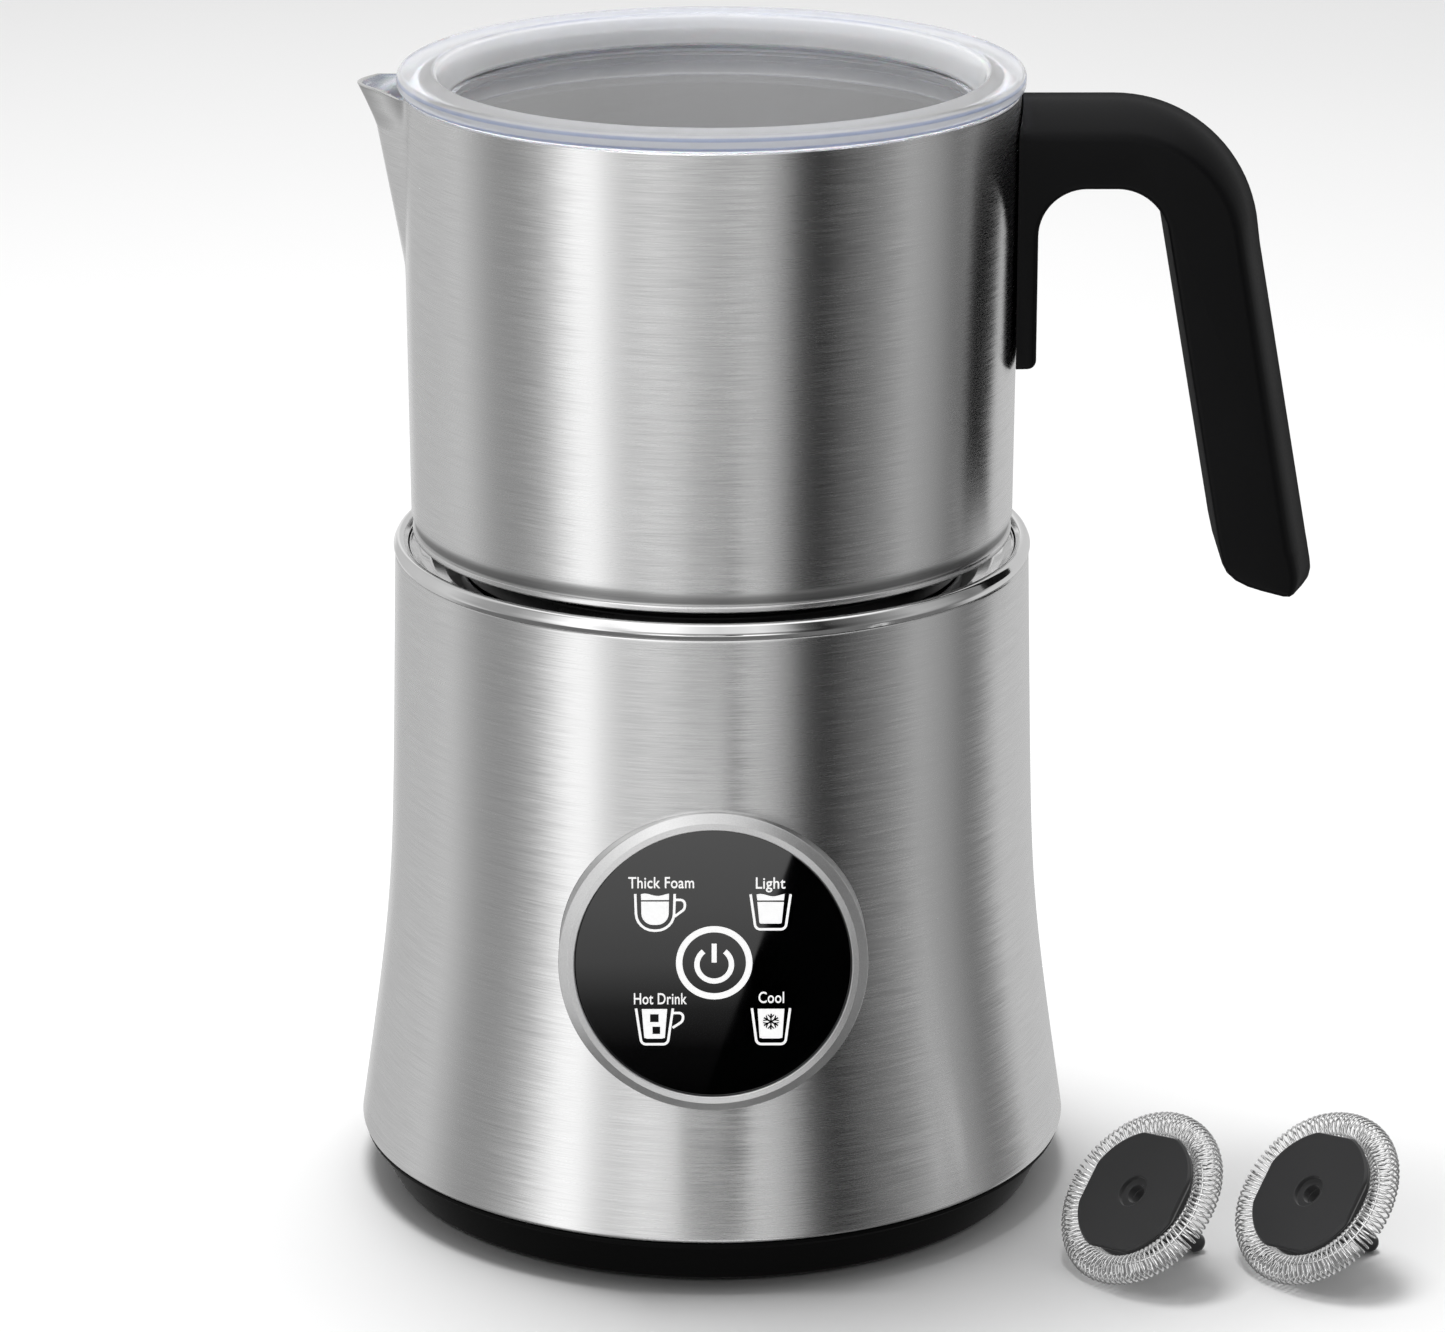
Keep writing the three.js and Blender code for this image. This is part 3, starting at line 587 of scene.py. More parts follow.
def drawn_wire(name):
    n = Nodes(name)
    draw = n.noise(2500.0)
    return n.surface(base_color=n.tint(draw, 0.78, 0.95), metallic=1.0,
                     roughness=n.spread(draw, 0.1, 0.18, 0.3, 0.7), normal=n.bump(draw, 0.15, 0.00001))


def wound_copper(name):
    """Enamelled wire wound in a flat spiral: fine rings round the axis, with painted shade darkening the
    grooves between turns.
    """
    n = Nodes(name)
    turns = n.math("ABSOLUTE", n.math("SINE", n.times(n.radius(), math.pi / 0.0009)))
    coppers_shaded_in_grooves = [(0.0, (0.12, 0.035, 0.012)), (0.5, (0.62, 0.22, 0.09)), (1.0, (0.8, 0.34, 0.15))]
    colour = n.ramp(turns, coppers_shaded_in_grooves)
    return n.surface(base_color=colour, metallic=0.85, roughness=0.32, normal=n.bump(turns, 0.8, 0.0003))


def circuit_board(name):
    """Green solder mask with faint copper runs under it."""
    n = Nodes(name)
    runs = n.new("ShaderNodeTexVoronoi", feature="DISTANCE_TO_EDGE", distance="MANHATTAN")
    edges = n.made(runs, n.coords, scale=260.0).outputs["Distance"]
    trace = n.spread(edges, 1.0, 0.0, 0.02, 0.09)
    colour = n.tint(trace, (0.006, 0.05, 0.022), (0.02, 0.13, 0.055), 0.2, 0.8)
    return n.surface(base_color=colour, roughness=0.3, normal=n.bump(trace, 0.3, 0.00003))


# Materials by the slots of the CAD record, and two more for the jug's shaded steel and the panel's ink
MAT = {
    "brushed_steel": brushed_steel("shell_brushed"),
    "shaded_steel": brushed_steel("jug_brushed", shaded=jug_shade),
    "polished_steel": polished_steel("steel_polished"),
    "satin_aluminium": satin_metal("bezel_satin", 0.72, 0.34),
    "zinc_steel": satin_metal("zinc_plated", 0.5, 0.42),
    "handle_black": moulded_plastic("handle_satin_black", (0.0045, 0.0045, 0.005), specular=0.14,
                                    matt_edge=0.45),
    "foot_black": moulded_plastic("foot_black", (0.002, 0.002, 0.002), 0.5, specular=0.08),
    "seat_black": moulded_plastic("seat_black", (0.004, 0.004, 0.0045), 0.3, 500.0, specular=0.25),
    "inner_black": moulded_plastic("inner_black", (0.02, 0.02, 0.021), 0.5),
    "whisk_black": moulded_plastic("whisk_black", (0.03, 0.03, 0.031), 0.4, 700.0),
    "ferrite": moulded_plastic("ferrite_grey", (0.045, 0.042, 0.042), 0.65, 600.0, 0.0001),
    "rubber": moulded_plastic("foot_rubber", (0.014, 0.014, 0.014), 0.75, 500.0, 0.0001, 0.3),
    "panel_glass": panel_glass("panel_glass_black"),
    "ink": printed_white("panel_ink"),
    "clear_plastic": clear_plastic("lid_clear"),
    "silicone": silicone("seal_silicone"),
    "wire_steel": drawn_wire("wire_drawn"),
    "magnet": polished_steel("magnet_nickel", 0.66, 0.2),
    "copper": wound_copper("coil_copper"),
    "circuit_board": circuit_board("board_green"),
}

# ------------------------------------------------------------------ base


def shell_radius(z):
    flare = FLARE_SLOPE * FLARE_BLEND * math.log(1 + math.exp((FLARE_Z - z) / FLARE_BLEND))
    return SHELL_TOP_R + SHELL_TAPER * (SHELL_TOP_Z - z) + flare


def base_shell():
    heights = [11 + 2.4 * k for k in range(43)] + [SHELL_TOP_Z - 0.6]
    outer = [(shell_radius(z), z) for z in heights]
    inner = [(shell_radius(z) - SHELL_WALL, z) for z in reversed(heights[::3])]
    top_r = shell_radius(SHELL_TOP_Z)
    hem = arc(shell_radius(HEM_Z) - HEM_R, HEM_Z, HEM_R, -170, 15, 14)
    lip = arc(top_r - 0.4, SHELL_TOP_Z - 0.4, 0.4, 10, 90, 6) + [(top_r - 0.8, SHELL_TOP_Z)]
    profile = hem + outer + lip + inner
    shell = lathe("shell_body", profile, MAT["brushed_steel"], 240, closed=True, even=False)
    drilled(shell, BEZEL_R + 0.08, -40, 8, panel_place(), 96)
    drilled(shell, 5.8, 50, 70, cord_place())
    even_wall_normals(shell)
    return shell


def even_wall_normals(shell):
    """Gives the outer wall the exact normals of its curve, so that the cut holes leave no dents in it."""
    mesh = shell.data
    normals = [Vector(v.normal) for v in mesh.vertices]
    for v in mesh.vertices:
        x, y, z = v.co / MM
        r = math.hypot(x, y)
        if HEM_Z + 0.5 < z < SHELL_TOP_Z - 0.5 and abs(r - shell_radius(z)) < 0.08:
            slope = shell_radius(z + 0.5) - shell_radius(z - 0.5)
            normals[v.index] = Vector((x / r, y / r, -slope)).normalized()
    mesh.shade_smooth()
    mesh.normals_split_custom_set_from_vertices(normals)


def base_rim():
    """A polished bead rolled over the shell's top edge."""
    foot = SHELL_TOP_Z + 0.05
    outline = [
        (53.0, 110.0, 0), (54.0, 110.0, 0), (54.0, foot, 0.1), (RIM_R - 0.2, foot, 0.15),
        (RIM_R + 0.3, 115.6, 1.2), (54.9, RIM_TOP_Z + 0.1, 0.9), (53.75, RIM_TOP_Z - 0.1, 0.8),
        (53.0, 116.1, 0.4), (52.95, 114.0, 0.3),
    ]
    return turned("rim_ring_body", outline, "polished_steel", 240, closed=True, step=9, sharp=50)


def seat_tray():
    outline = [
        (42.2, TRAY_Z - 0.8, 0), (46.9, TRAY_Z - 0.8, 1.5), (49.3, 111.8, 2), (51.3, 113.3, 2),
        (52.85, 115.2, 0.1), (52.75, 115.95, 0.25), (52.3, 115.6, 0.2), (51, 114.1, 4), (49, 112.6, 2.5),
        (46.5, TRAY_Z, 1.5), (42.2, TRAY_Z, 0),
    ]
    return turned("seat_tray_body", outline, "polished_steel", 200, closed=True)


def jug_seat():
    """A round black plate with a fine step near its edge and a hole for the temperature sensor."""
    groove = SEAT_TOP_Z - 0.35
    outline = [
        (0, 112.1, 0), (SEAT_R, 112.1, 0.3), (SEAT_R, SEAT_TOP_Z, 0.8), (41.4, SEAT_TOP_Z, 0.15),
        (41.2, groove, 0.1), (40.4, groove, 0.1), (40.2, SEAT_TOP_Z, 0.15), (0, SEAT_TOP_Z, 0),
    ]
    seat = turned("jug_seat_body", outline, "seat_black", 160)
    return drilled(seat, 2.5, 100, 120, Matrix.Translation((SENSOR_X, 0, 0)))


def base_pan():
    """The foot: a cone with a thin lip that shows all round under the shell's hem."""
    outline = [
        (50.6, PAN_BOTTOM_Z, 0.2), (56.4, PAN_BOTTOM_Z, 0), (PAN_BOTTOM_R, PAN_BOTTOM_Z, 0.9),
        (PAN_TOP_R - 0.35, 7.6, 0.6), (PAN_TOP_R + 0.95, 8.5, 0.25), (PAN_TOP_R + 0.95, 9.08, 0.2),
        (PAN_TOP_R - 1, 9.12, 0.2), (PAN_TOP_R - 1.1, 16, 0.3), (PAN_TOP_R - 3, 16, 0.3),
        (PAN_TOP_R - 3, 9.3, 0.5), (54, 4.1, 0.5), (50.6, 4.1, 0.2),
    ]
    return turned("base_pan_body", outline, "foot_black", 200, closed=True)


def rubber_foot(name, radius, x, y):
    """A round rubber pad with fine rings moulded in its sole."""
    profile = [(0, 0.12)]
    count = int(radius / 1.2)
    for k in range(1, count):
        r = radius * k / count
        profile += [(r - 0.45, 0.12), (r - 0.25, 0.0), (r + 0.25, 0.0), (r + 0.45, 0.12)]
    rim = rounded([(radius - 0.5, 0.12, 0), (radius - 0.35, 0.0, 0.1), (radius, 0.0, 0.3),
                   (radius, 1.8, 0.2), (0, 1.8, 0)])
    return lathe(name, profile + rim, MAT["rubber"], 72, place=Matrix.Translation((x, y, 0)))


def control_bezel():
    """A crowned ring: a narrow face round the glass and a wider one that leans back to the shell."""
    outline = [
        (22, -13.8, 0.2), (28, -13.8, 0.3), (28, -12.2, 0.3), (BEZEL_R, -12.2, 0),
        (BEZEL_R + 0.05, -1.15, 0.25), (24.5, -0.2, 0.12), (23.45, 0, 0.12), (GLASS_R, -0.2, 0.05),
        (GLASS_R, -0.6, 0), (23.5, -0.6, 0), (23.5, -3.1, 0), (22, -3.1, 0),
    ]
    return turned("bezel_body", outline, "satin_aluminium", 200, closed=True,
                  place=panel_place(), sharp=18)


def control_glass():
    outline = [(0, -2.8, 0), (GLASS_R, -2.8, 0.1), (GLASS_R, GLASS_FRONT, 0.22), (0, GLASS_FRONT, 0)]
    return turned("glass_body", outline, "panel_glass", 160, place=panel_place())


def cord_gland():
    face = shell_radius(CORD_Z - 6.8) + 0.3
    outline = [
        (3.5, 54, 0.3), (7.2, 54, 0.3), (7.2, 55.6, 0.3), (5.5, 55.6, 0), (5.5, face, 0), (6.8, face, 0.15),
        (6.8, face + 1.8, 0.8), (4.4, face + 1.8, 0.3), (3.9, face + 1.3, 0.4), (3.5, face + 0.4, 0.3),
    ]
    return turned("cord_gland_body", outline, "foot_black", 72, closed=True,
                  place=cord_place())


def sensor_cap():
    outline = [(0, 104.6, 0), (0.9, 104.6, 0.2), (0.9, 109.5, 0), (2.8, 109.5, 0.2), (2.8, 110.6, 0.2),
               (2.1, 110.6, 0), (2.1, SEAT_TOP_Z, 0.6), (0, SEAT_TOP_Z, 0)]
    place = Matrix.Translation((SENSOR_X, 0, 0))
    return turned("sensor_cap", outline, "polished_steel", 48, place=place)


# ------------------------------------------------------------------ panel symbols

SYMBOL_LIFT = GLASS_FRONT + 0.012
SYMBOL_DEPTH = 0.04
SYMBOL_LINE = 0.42
FOAM = 1.3
FOAM_GAP = 0.28
DRINK_HEIGHT = 5.2
FLAKE_ARM = 1.4
FLAKE_HALF = 0.15


def prism(bm, outline):
    """A flat printed patch with a hair of thickness, from an outline in panel mm."""
    levels = (SYMBOL_LIFT, SYMBOL_LIFT + SYMBOL_DEPTH)
    loops = [[bm.verts.new((x, y, z)) for x, y in outline] for z in levels]
    cap_ends(bm, loops)
    bridge(bm, *loops)


def stroke(bm, path, width, closed=False):
    """A line of even width along a path in panel mm."""
    sides = []
    count = len(path)
    for k, point in enumerate(path):
        at = Vector(point)
        ways = []
        if closed or k > 0:
            ways.append((at - Vector(path[k - 1])).normalized())
        if closed or k < count - 1:
            ways.append((Vector(path[(k + 1) % count]) - at).normalized())
        way = sum(ways, Vector((0, 0))).normalized()
        normal = Vector((-way.y, way.x))
        stretch = 1 / max(0.5, normal.dot(Vector((-ways[0].y, ways[0].x))))
        offset = normal * (width / 2 * stretch)
        sides.append((at + offset, at - offset))
    pairs = list(zip(sides, sides[1:]))
    if closed:
        pairs.append((sides[-1], sides[0]))
    for (a, b), (c, d) in pairs:
        prism(bm, [a, b, d, c])


def cup(x, y, top, bottom, height, corner):
    """An open cup seen from the side, from one brim to the other, centred on x with its foot at y."""
    return rounded([(x - top / 2, y + height, 0), (x - bottom / 2, y, corner), (x + bottom / 2, y, corner),
                    (x + top / 2, y + height, 0)], step=15)


def cup_handle(bm, x, y, drop):
    out = x + 1.75
    path = rounded([(x, y, 0), (out, y, 0.9), (out, y - drop * 0.55, 1.1), (x, y - drop, 0)], step=12)
    stroke(bm, path, SYMBOL_LINE)


def foamed_milk(bm, x, y, top, bottom, height, corner):
    """Milk in a cup, with a thin gap under its foam, which has a wavy top."""
    wave = []
    for k in range(9):
        swell = 0.22 * math.sin(2.2 * math.pi * k / 8 + 0.6)
        wave.append((x - top / 2 + top * k / 8, y + height - 0.25 + swell))
    line = y + height - FOAM
    half_top = top / 2 - (top - bottom) / 2 * FOAM / height
    foot = line + FOAM_GAP / 2
    prism(bm, [(x - half_top, foot)] + wave + [(x + half_top, foot)])
    prism(bm, cup(x, y, half_top * 2, bottom, height - FOAM - FOAM_GAP / 2, corner))


def drink(bm, x, y, row, half, flare, gaps):
    """A tapered glassful built in thin rows, left open in the intervals that gaps(level) gives."""
    for k in range(round(DRINK_HEIGHT / row)):
        low, high = y + row * k, y + row * (k + 1)
        level = (low + high) / 2 - y
        reach = half + flare * level / DRINK_HEIGHT - (0.35 if level < 0.1 else 0)
        spans = [(-reach, reach)]
        for a, b in gaps(level):
            parts = [part for s, e in spans for part in ((s, min(e, a)), (max(s, b), e))]
            spans = [(s, e) for s, e in parts if e - s > 0.01]
        for start, end in spans:
            prism(bm, [(x + start, low), (x + end, low), (x + end, high), (x + start, high)])


def cube_gaps(level):
    """Two square cubes."""
    if 0.75 < level < 2.15:
        return [(-0.35, 0.95)]
    if 2.85 < level < 4.35:
        return [(-0.75, 0.7)]
    return []


def in_flake(x, y):
    """Whether a place is on a six-armed flake with its middle at 0, 0."""
    for degrees in (30, 90, 150):
        ax, ay = math.cos(math.radians(degrees)), math.sin(math.radians(degrees))
        along = abs(x * ax + y * ay)
        across = abs(y * ax - x * ay)
        if along < FLAKE_ARM and across < FLAKE_HALF:
            return True
        if 0.62 < along < 1.25 and abs(across - (along - 0.62) * 0.8) < FLAKE_HALF:
            return True
    return False


def flake_gaps(level):
    """The flake, found in small steps across the glass."""
    step, reach = 0.05, 30
    found = []
    for k in range(-reach, reach + 1):
        if not in_flake(k * step, level - 2.95):
            continue
        if found and found[-1][1] == (k - 0.5) * step:
            found[-1] = (found[-1][0], (k + 0.5) * step)
        else:
            found.append(((k - 0.5) * step, (k + 0.5) * step))
    return found


def panel_symbols():
    """A power sign in a ring, and round it foam in a cup and a glass, cubes in a cup, a flake in a glass."""
    bm = bmesh.new()
    x, y = 0.15, 0.2
    stroke(bm, arc(x, y, 5.88, 0, 360, 72)[:-1], 1.08, closed=True)
    stroke(bm, arc(x, y - 0.3, 2.9, 128, 412, 48), 0.9)
    stroke(bm, [(x, y + 0.05), (x, y + 3.35)], 0.85)
    cups = (
        (-9.75, 5.85, 6.6, 6.2, 6.4, 3.0),
        (9.6, 6.05, 6.7, 5.0, 6.1, 0.9),
        (-9.9, -14.1, 6.2, 4.4, 6.3, 0.9),
        (9.7, -14.1, 6.4, 4.8, 6.3, 0.9),
    )
    for sizes in cups:
        stroke(bm, cup(*sizes), SYMBOL_LINE)
    cup_handle(bm, -6.5, 11.2, 2.9)
    cup_handle(bm, -6.85, -8.6, 2.6)
    foamed_milk(bm, -9.75, 6.85, 4.7, 4.5, 5.5, 2.1)
    foamed_milk(bm, 9.6, 7.05, 4.7, 3.7, 5.2, 0.3)
    drink(bm, -9.9, -13.1, 0.1, 1.72, 0.42, cube_gaps)
    drink(bm, 9.7, -13.1, 0.05, 1.9, 0.35, flake_gaps)
    symbols = finish_mesh("panel_symbols", bm, MAT["ink"])
    symbols.data.transform(panel_place(MM))
    return symbols


def panel_label(name, words, x, y, width, cap):
    """A generic word over its symbol, narrow and bold."""
    curve = bpy.data.curves.new(name, "FONT")
    curve.body = words
    curve.align_x = "CENTER"
    curve.align_y = "CENTER"
    curve.size = 1.0
    curve.offset = 0.01
    curve.extrude = 0.01
    curve.space_character = 1.04
    curve.resolution_u = 4
    text = bpy.data.objects.new(name, curve)
    bpy.context.scene.collection.objects.link(text)
    depsgraph = bpy.context.evaluated_depsgraph_get()
    mesh = bpy.data.meshes.new_from_object(text.evaluated_get(depsgraph))
    bpy.data.objects.remove(text)
    xs = [v.co.x for v in mesh.vertices]
    middle = (min(xs) + max(xs)) / 2
    across = width / (max(xs) - min(xs))
    up = cap / 0.7
    for v in mesh.vertices:
        v.co = ((v.co.x - middle) * across + x, v.co.y * up + y, SYMBOL_LIFT + 0.02 + v.co.z * 2)
    mesh.transform(Matrix.Scale(MM, 4))
    mesh.transform(panel_place(MM))
    label = bpy.data.objects.new(name, mesh)
    bpy.context.scene.collection.objects.link(label)
    mesh.materials.clear()
    mesh.materials.append(MAT["ink"])
    return label


LABELS = [
    ("label_thick_foam", "Thick Foam", -8.7, 14.1, 11.0),
    ("label_light", "Light", 9.6, 14.0, 4.95),
    ("label_hot_milk", "Hot Drink", -8.9, -6.2, 8.9),
    ("label_cool", "Cool", 9.75, -6.0, 4.3),
]

# ------------------------------------------------------------------ jug


def wall_radius(z):
    return JUG_BASE_R + (JUG_RIM_R - JUG_BASE_R) * (z - JUG_FLOOR_Z) / (JUG_RIM_Z - JUG_FLOOR_Z)


def spout_reach(z):
    """How far the spout's tip stands out from the wall at a height."""
    slope = SPOUT_SLOPE * max(0.0, z - SPOUT_START_Z)
    start = clamp((z - SPOUT_START_Z + 3) / 6)
    straight = SPOUT_SLOPE * (JUG_RIM_Z - SPOUT_START_Z)
    return slope * (0.4 + 0.6 * start) + (SPOUT_REACH - straight) * flare_share(z)**1.2


def flare_share(z):
    """0 where the spout starts to flare, 1 at the rim."""
    return max(0.0, (z - SPOUT_FLARE_Z) / (JUG_RIM_Z - SPOUT_FLARE_Z))


def spout_share(from_tip, z):
    """1 over the spout's blunt tip, falling straight to 0 at its edges, with soft corners."""
    spread = SPOUT_ANGLE * (0.45 + 0.55 * clamp((z - SPOUT_START_Z) / 28))
    peak = (1 - math.hypot(from_tip / spread, SPOUT_NOSE)) / (1 - SPOUT_NOSE)
    soft = 0.03
    if peak > 6 * soft:
        return min(1.0, peak)
    return soft * math.log(1 + math.exp(peak / soft))


def jug_angles():
    """Angles round the jug, closer together over the spout."""
    over, round_jug = 72, 220
    spout = [math.pi + SPOUT_EDGE * (2 * k / over - 1) for k in range(over + 1)]
    rest = [math.pi + SPOUT_EDGE + 2 * (math.pi - SPOUT_EDGE) * k / round_jug for k in range(1, round_jug)]
    return spout + rest


def jug_ring(angles, z, inset):
    """Points round the jug, inset from its outer wall. Over the spout the rim rises clear of the lid."""
    ring = []
    for angle in angles:
        from_tip = abs(angle - math.pi)
        over_spout = from_tip < SPOUT_EDGE and z > SPOUT_START_Z - 4
        share = spout_share(from_tip, z) if over_spout else 0.0
        fade = max(0.0, 1 - max(0.0, from_tip / SPOUT_EDGE - 0.85) / 0.15)
        outer = wall_radius(z) + share * fade * spout_reach(z)
        rise = SPOUT_RISE * flare_share(z) * clamp((outer - LID_R - 0.4) / 3.6)
        ring.append(((outer - inset) * math.cos(angle), (outer - inset) * math.sin(angle), z + rise))
    return ring


def jug_body():
    """One skin, from a rounded bead round the floor to the rolled rim and back down inside.

    Its path is made of (inset from the outer wall, height).
    """
    angles = jug_angles()
    heights = [JUG_FLOOR_Z + 5 + 4.4 * k for k in range(9)]
    heights += [SPOUT_START_Z - 3 + 1.9 * k for k in range(14)]
    heights += [SPOUT_FLARE_Z + 0.6 * k for k in range(11)]
    floor = JUG_FLOOR_Z
    bead = rounded([
        (9, floor, 0), (3.4, floor, 1.5), (0.15, floor, 0.42), (0.15, floor + 1.05, 0.42),
        (0.62, floor + 1.3, 0.25), (0.6, floor + 1.9, 0.9), (0, floor + 3.5, 1.6), (0, floor + 4.6, 0),
    ], step=12)
    rim = rounded([(0, JUG_RIM_Z - 0.5, 0), (-0.05, JUG_RIM_Z, 0.4), (JUG_WALL + 0.05, JUG_RIM_Z, 0.4),
                   (JUG_WALL, JUG_RIM_Z - 0.5, 0)], step=20)
    inside = rounded([(JUG_WALL, floor + 5, 0), (JUG_WALL, floor + JUG_WALL, 3), (9, floor + JUG_WALL, 0)],
                     step=12)
    path = bead + [(0.0, z) for z in heights] + rim + [(JUG_WALL, z) for z in reversed(heights)] + inside
    bm = bmesh.new()
    add_loft(bm, [jug_ring(angles, z, inset) for inset, z in path])
    return finish_mesh("jug_body", bm, MAT["shaded_steel"], 40)


def jug_base():
    outline = [(0, 115.5, 0), (39.5, 115.5, 0.3), (39.8, 115.8, 0.2), (40.4, 115.8, 0.2), (40.7, 115.5, 0.3),
               (43.2, 115.5, 0.7), (43.2, 117.8, 0.3), (0, 117.8, 0)]
    return turned("jug_base_plate", outline, "polished_steel", 160)


def spindle():
    floor = JUG_FLOOR_Z + JUG_WALL + 0.05
    outline = [(0, floor, 0), (5, floor, 0.2), (4.6, floor + 1.2, 0.5), (1.4, floor + 1.5, 0.5),
               (1.4, 124.4, 0.6), (0, 124.4, 0)]
    return turned("spindle_post", outline, "polished_steel", 48)


# ------------------------------------------------------------------ handle


def inner_outline():
    """The handle's outline as (x, z), from the tongue's foot up, round the crook and down to the tip."""
    corner = rounded([(INSIDE_WALL_X, TONGUE_BOTTOM_Z, 0), (TONGUE_X, TONGUE_BOTTOM_Z, 1.5),
                      (TONGUE_X, CROOK_Z, 0)], step=15)
    points = corner[:-1] + [(TONGUE_X, 155 + 4.2 * k) for k in range(5)] + corner[-1:]
    points += arc(TONGUE_X + CROOK_R, CROOK_Z, CROOK_R, 180, 90, 14)
    points += arc(BEND_X, 171.3, 9.0, 88, math.degrees(GRIP_LEAN), 16)
    start = Vector(points[-1])
    points += [tuple(start + GRIP_DOWN * 56.2 * k / 12) for k in range(1, 13)]
    return points + [(88.35, 113.9), (89.2, 112.3), (90.7, 110.9), (92.8, 109.8), (95.2, 109.0),
                     (97.6, 108.35), (99.1, 107.95)]


def handle_outline():
    """The side outline as (x, z, crown x, crown z, on the jug) points, once round.

    The crown is how far the outer face swells at the middle of the handle's width.
    """
    points = [(x, z, 0.0, 0.0, False) for x, z in inner_outline()]
    points[0] = (INSIDE_WALL_X, TONGUE_BOTTOM_Z, 0.0, 0.0, True)
    tip = (
        (100.1, 107.95, 0.9, -0.2), (100.6, 108.4, 1.9, -0.4), (100.85, 109.2, 2.8, -0.5),
        (100.95, 110.2, 3.5, -0.55), (100.9, 111.3, 3.8, -0.5), (100.75, 112.4, 3.8, -0.2),
        (100.45, 113.6, 3.8, 0.2), (100.1, 115.0, 3.85, 0.5),
    )
    points += [(*place, False) for place in tip]
    out = Vector((math.cos(GRIP_LEAN), math.sin(GRIP_LEAN)))
    edge_end = Vector((BEND_X, BEND_Z)) + out * BEND_R
    for k in range(14):
        at = edge_end + GRIP_DOWN * 57 * (1 - k / 14)
        swell = out * (4.1 - 0.15 * k / 14)
        points.append((at.x, at.y, swell.x, swell.y, False))
    for k in range(22):
        turn = GRIP_LEAN + (math.pi / 2 - GRIP_LEAN) * k / 21
        x = BEND_X + BEND_R * math.cos(turn)
        z = BEND_Z + BEND_R * math.sin(turn)
        crown_x = BEND_X + 25.2 * math.cos(turn)
        crown_z = ARM_TOP_Z - 25.3 + 25.3 * math.sin(turn)
        points.append((x, z, crown_x - x, crown_z - z, False))
    arm_crown = ARM_TOP_Z - ARM_EDGE_Z
    points += [(x, ARM_EDGE_Z, 0.0, arm_crown, False) for x in (66, 63, 60, 57, 54.6)]
    points.append((INSIDE_WALL_X, ARM_EDGE_Z, 0.0, arm_crown, True))
    points += [(INSIDE_WALL_X, ARM_EDGE_Z - 4.5 * k, 0.0, 0.0, True) for k in range(1, 9)]
    return points


def handle_levels():
    """(y, inset from the outline) across the handle's width, round both its edges."""
    edge = []
    for degrees in (0, 22.5, 45, 67.5):
        swing = math.radians(degrees)
        edge.append((HANDLE_HALF - EDGE_R + EDGE_R * math.cos(swing), EDGE_R * (1 - math.sin(swing))))
    flat = [(k - 10, 0.0) for k in range(21)]
    return [(-y, inset) for y, inset in edge] + flat + list(reversed(edge))


def handle_body():
    outline = handle_outline()
    count = len(outline)
    rings = []
    for y, inset in handle_levels():
        ring = []
        for k, (x, z, crown_x, crown_z, on_jug) in enumerate(outline):
            before, after = outline[k - 1], outline[(k + 1) % count]
            way = Vector((after[0] - before[0], after[1] - before[1])).normalized()
            swell = 1 - (y / HANDLE_HALF) ** 2
            px = math.sqrt(WALL_GAP_R**2 - y * y) if on_jug else x + crown_x * swell - way.y * inset
            ring.append((px, y, z + crown_z * swell + way.x * inset))
        rings.append(ring)
    bm = bmesh.new()
    add_loft(bm, rings)
    return finish_mesh("handle_body", bm, MAT["handle_black"], 38)


def handle_screw(name, z):
    """A sunk screw with a cross recess, lying along X, its head just under the tongue's surface."""
    outline = [(0, 53.3, 0), (1.2, 53.3, 0.1), (1.2, 54.4, 0), (2.1, 55.25, 0.1), (1.9, 55.35, 0.1),
               (0, 55.35, 0)]
    place = Matrix.Translation((0, 0, z)) @ Matrix.Rotation(math.pi / 2, 4, "Y")
    screw = lathe(name, rounded(outline), MAT["zinc_steel"], 48, place=place)
    for turn in (0, math.pi / 2):
        bm = bmesh.new()
        bmesh.ops.create_cube(bm, size=1, matrix=Matrix.Translation((55.3, 0, z))
                              @ Matrix.Rotation(turn, 4, "X") @ Matrix.Diagonal((1.2, 2.2, 0.45, 1)))
        punched(screw, finish_mesh("cross", bm, None))
    return screw


# ------------------------------------------------------------------ lid


def lid_body():
    outline = [
        (0, 191.6, 0), (47.6, 191.6, 0.5), (48, 188.8, 0.3), (50.8, 188.8, 0.4), (50.8, 189.8, 0.3),
        (49.6, 190.3, 0.3), (49.6, LID_UNDERSIDE_Z, 0.3), (LID_R, LID_UNDERSIDE_Z, 0.9),
        (LID_R, LID_TOP_Z, 1.1), (47.6, LID_TOP_Z, 0.7), (46.8, 198.6, 0.5),
        (LID_WELL_R, LID_WELL_Z + 0.4, 0.9), (44.4, LID_WELL_Z, 0.6), (0, LID_WELL_Z, 0),
    ]
    return turned("lid_body", outline, "clear_plastic", 220, step=9, sharp=60)


def lid_gasket():
    outline = [
        (49.9, 190.6, 0.1), (50.6, 190.6, 0.2), (51.55, 191.6, 0.35), (50.6, 192.6, 0.3), (50.6, 193.8, 0.3),
        (51.55, 194.8, 0.35), (50.6, 196, 0.2), (49.9, 196, 0.1),
    ]
    return turned("lid_gasket", outline, "silicone", 180, closed=True)


# ------------------------------------------------------------------ whisks

COIL_TURNS = 92
WIRE_R = 0.2
GUIDE_R = 0.24
GUIDE_Z = 1.1


def whisk_place(name):
    if name == "whisk":
        return Matrix.Translation((0, 0, WHISK_IN_JUG_Z))
    x, y = LOOSE_WHISKS[name]
    turn = Vector((0, 0, 1)).rotation_difference(-LEAN_FACE).to_matrix().to_4x4()
    return Matrix.Translation((x, y, LYING_Z)) @ turn


